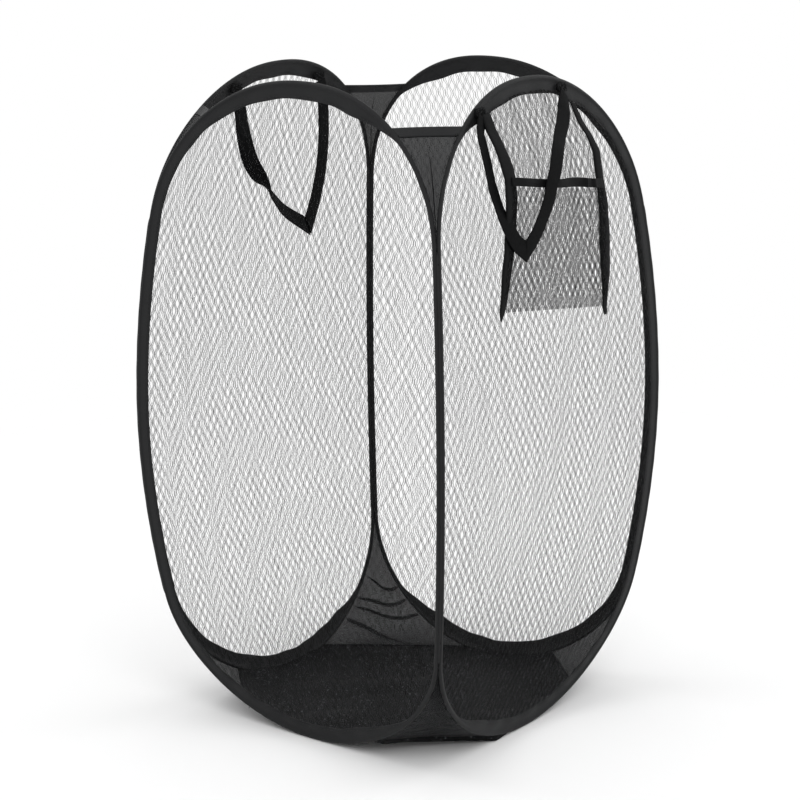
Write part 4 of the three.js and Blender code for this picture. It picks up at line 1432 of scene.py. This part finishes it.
def floorPlane():
    # a pale square whose alpha fades smoothly with the distance from its middle
    r = stage["floorRadius"]
    corners = [(-r, -r, 0), (r, -r, 0), (r, r, 0), (-r, r, 0)]
    look = bpy.data.materials.new("paleFloor")
    look.use_nodes = True
    tree = look.node_tree
    shader = tree.nodes["Principled BSDF"]
    shader.inputs["Base Color"].default_value = (stage["floorTone"],) * 3 + (1,)
    shader.inputs["Roughness"].default_value = stage["floorRoughness"]
    shader.inputs["Specular IOR Level"].default_value = 0.0
    place = tree.nodes.new("ShaderNodeTexCoord")
    far = tree.nodes.new("ShaderNodeVectorMath")
    far.operation = "LENGTH"
    fade = tree.nodes.new("ShaderNodeMapRange")
    fade.interpolation_type = "SMOOTHSTEP"
    fade.inputs["From Min"].default_value, fade.inputs["From Max"].default_value = stage["floorFade"]
    fade.inputs["To Min"].default_value, fade.inputs["To Max"].default_value = 1.0, 0.0
    tree.links.new(place.outputs["Object"], far.inputs[0])
    tree.links.new(far.outputs["Value"], fade.inputs["Value"])
    tree.links.new(fade.outputs["Result"], shader.inputs["Alpha"])
    floor = makePiece("paleFloor", corners, [(0, 1, 2, 3)], look)
    floor.location.z = -stage["floorDrop"]


def whiteSurround():
    # a world that shows as plain white but lights the hamper more softly
    world = bpy.data.worlds.new("studio")
    bpy.context.scene.world = world
    world.use_nodes = True
    tree = world.node_tree
    tree.nodes.clear()
    seen, light = (tree.nodes.new("ShaderNodeBackground") for _ in range(2))
    seen.inputs["Strength"].default_value = 1.0
    light.inputs["Strength"].default_value = stage["surround"]
    for node in (seen, light):
        node.inputs["Color"].default_value = (1, 1, 1, 1)
    path = tree.nodes.new("ShaderNodeLightPath")
    straight, clear = (tree.nodes.new("ShaderNodeMath") for _ in range(2))
    # rays from the camera, off shiny places and through clear ones meet white, all others the light
    camera, glossy = path.outputs["Is Camera Ray"], path.outputs["Is Glossy Ray"]
    through = path.outputs["Is Transmission Ray"]
    for node, first, second in ((straight, camera, glossy), (clear, straight.outputs["Value"], through)):
        node.operation = "MAXIMUM"
        tree.links.new(first, node.inputs[0])
        tree.links.new(second, node.inputs[1])
    mix = tree.nodes.new("ShaderNodeMixShader")
    out = tree.nodes.new("ShaderNodeOutputWorld")
    tree.links.new(clear.outputs["Value"], mix.inputs["Fac"])
    tree.links.new(light.outputs["Background"], mix.inputs[1])
    tree.links.new(seen.outputs["Background"], mix.inputs[2])
    tree.links.new(mix.outputs["Shader"], out.inputs["Surface"])


def softLamps():
    # square lamps that look at the middle of the hamper
    for number, (place, size, power) in enumerate(stage["lamps"], 1):
        data = bpy.data.lights.new(f"softLamp{number}", "AREA")
        data.size = size
        data.energy = power
        lamp = bpy.data.objects.new(f"softLamp{number}", data)
        lamp.location = place
        toward = Vector(stage["cameraTarget"]) - Vector(place)
        lamp.rotation_euler = toward.to_track_quat("-Z", "Y").to_euler()
        bpy.context.scene.collection.objects.link(lamp)


def photoCamera():
    # aimed at its target, then rolled about its own line of sight
    data = bpy.data.cameras.new("photoCamera")
    data.lens = stage["lens"]
    data.sensor_width = stage["sensorWidth"]
    data.shift_x, data.shift_y = stage["shift"]
    data.dof.use_dof = False
    camera = bpy.data.objects.new("photoCamera", data)
    place = Vector(stage["cameraPlace"])
    aim = (Vector(stage["cameraTarget"]) - place).to_track_quat("-Z", "Y").to_matrix().to_4x4()
    camera.matrix_world = Matrix.Translation(place) @ aim @ Matrix.Rotation(-stage["roll"], 4, "Z")
    bpy.context.scene.collection.objects.link(camera)
    bpy.context.scene.camera = camera


floorPlane()
whiteSurround()
softLamps()
photoCamera()
bpy.context.scene.view_settings.view_transform = "Standard"
print("stage set")
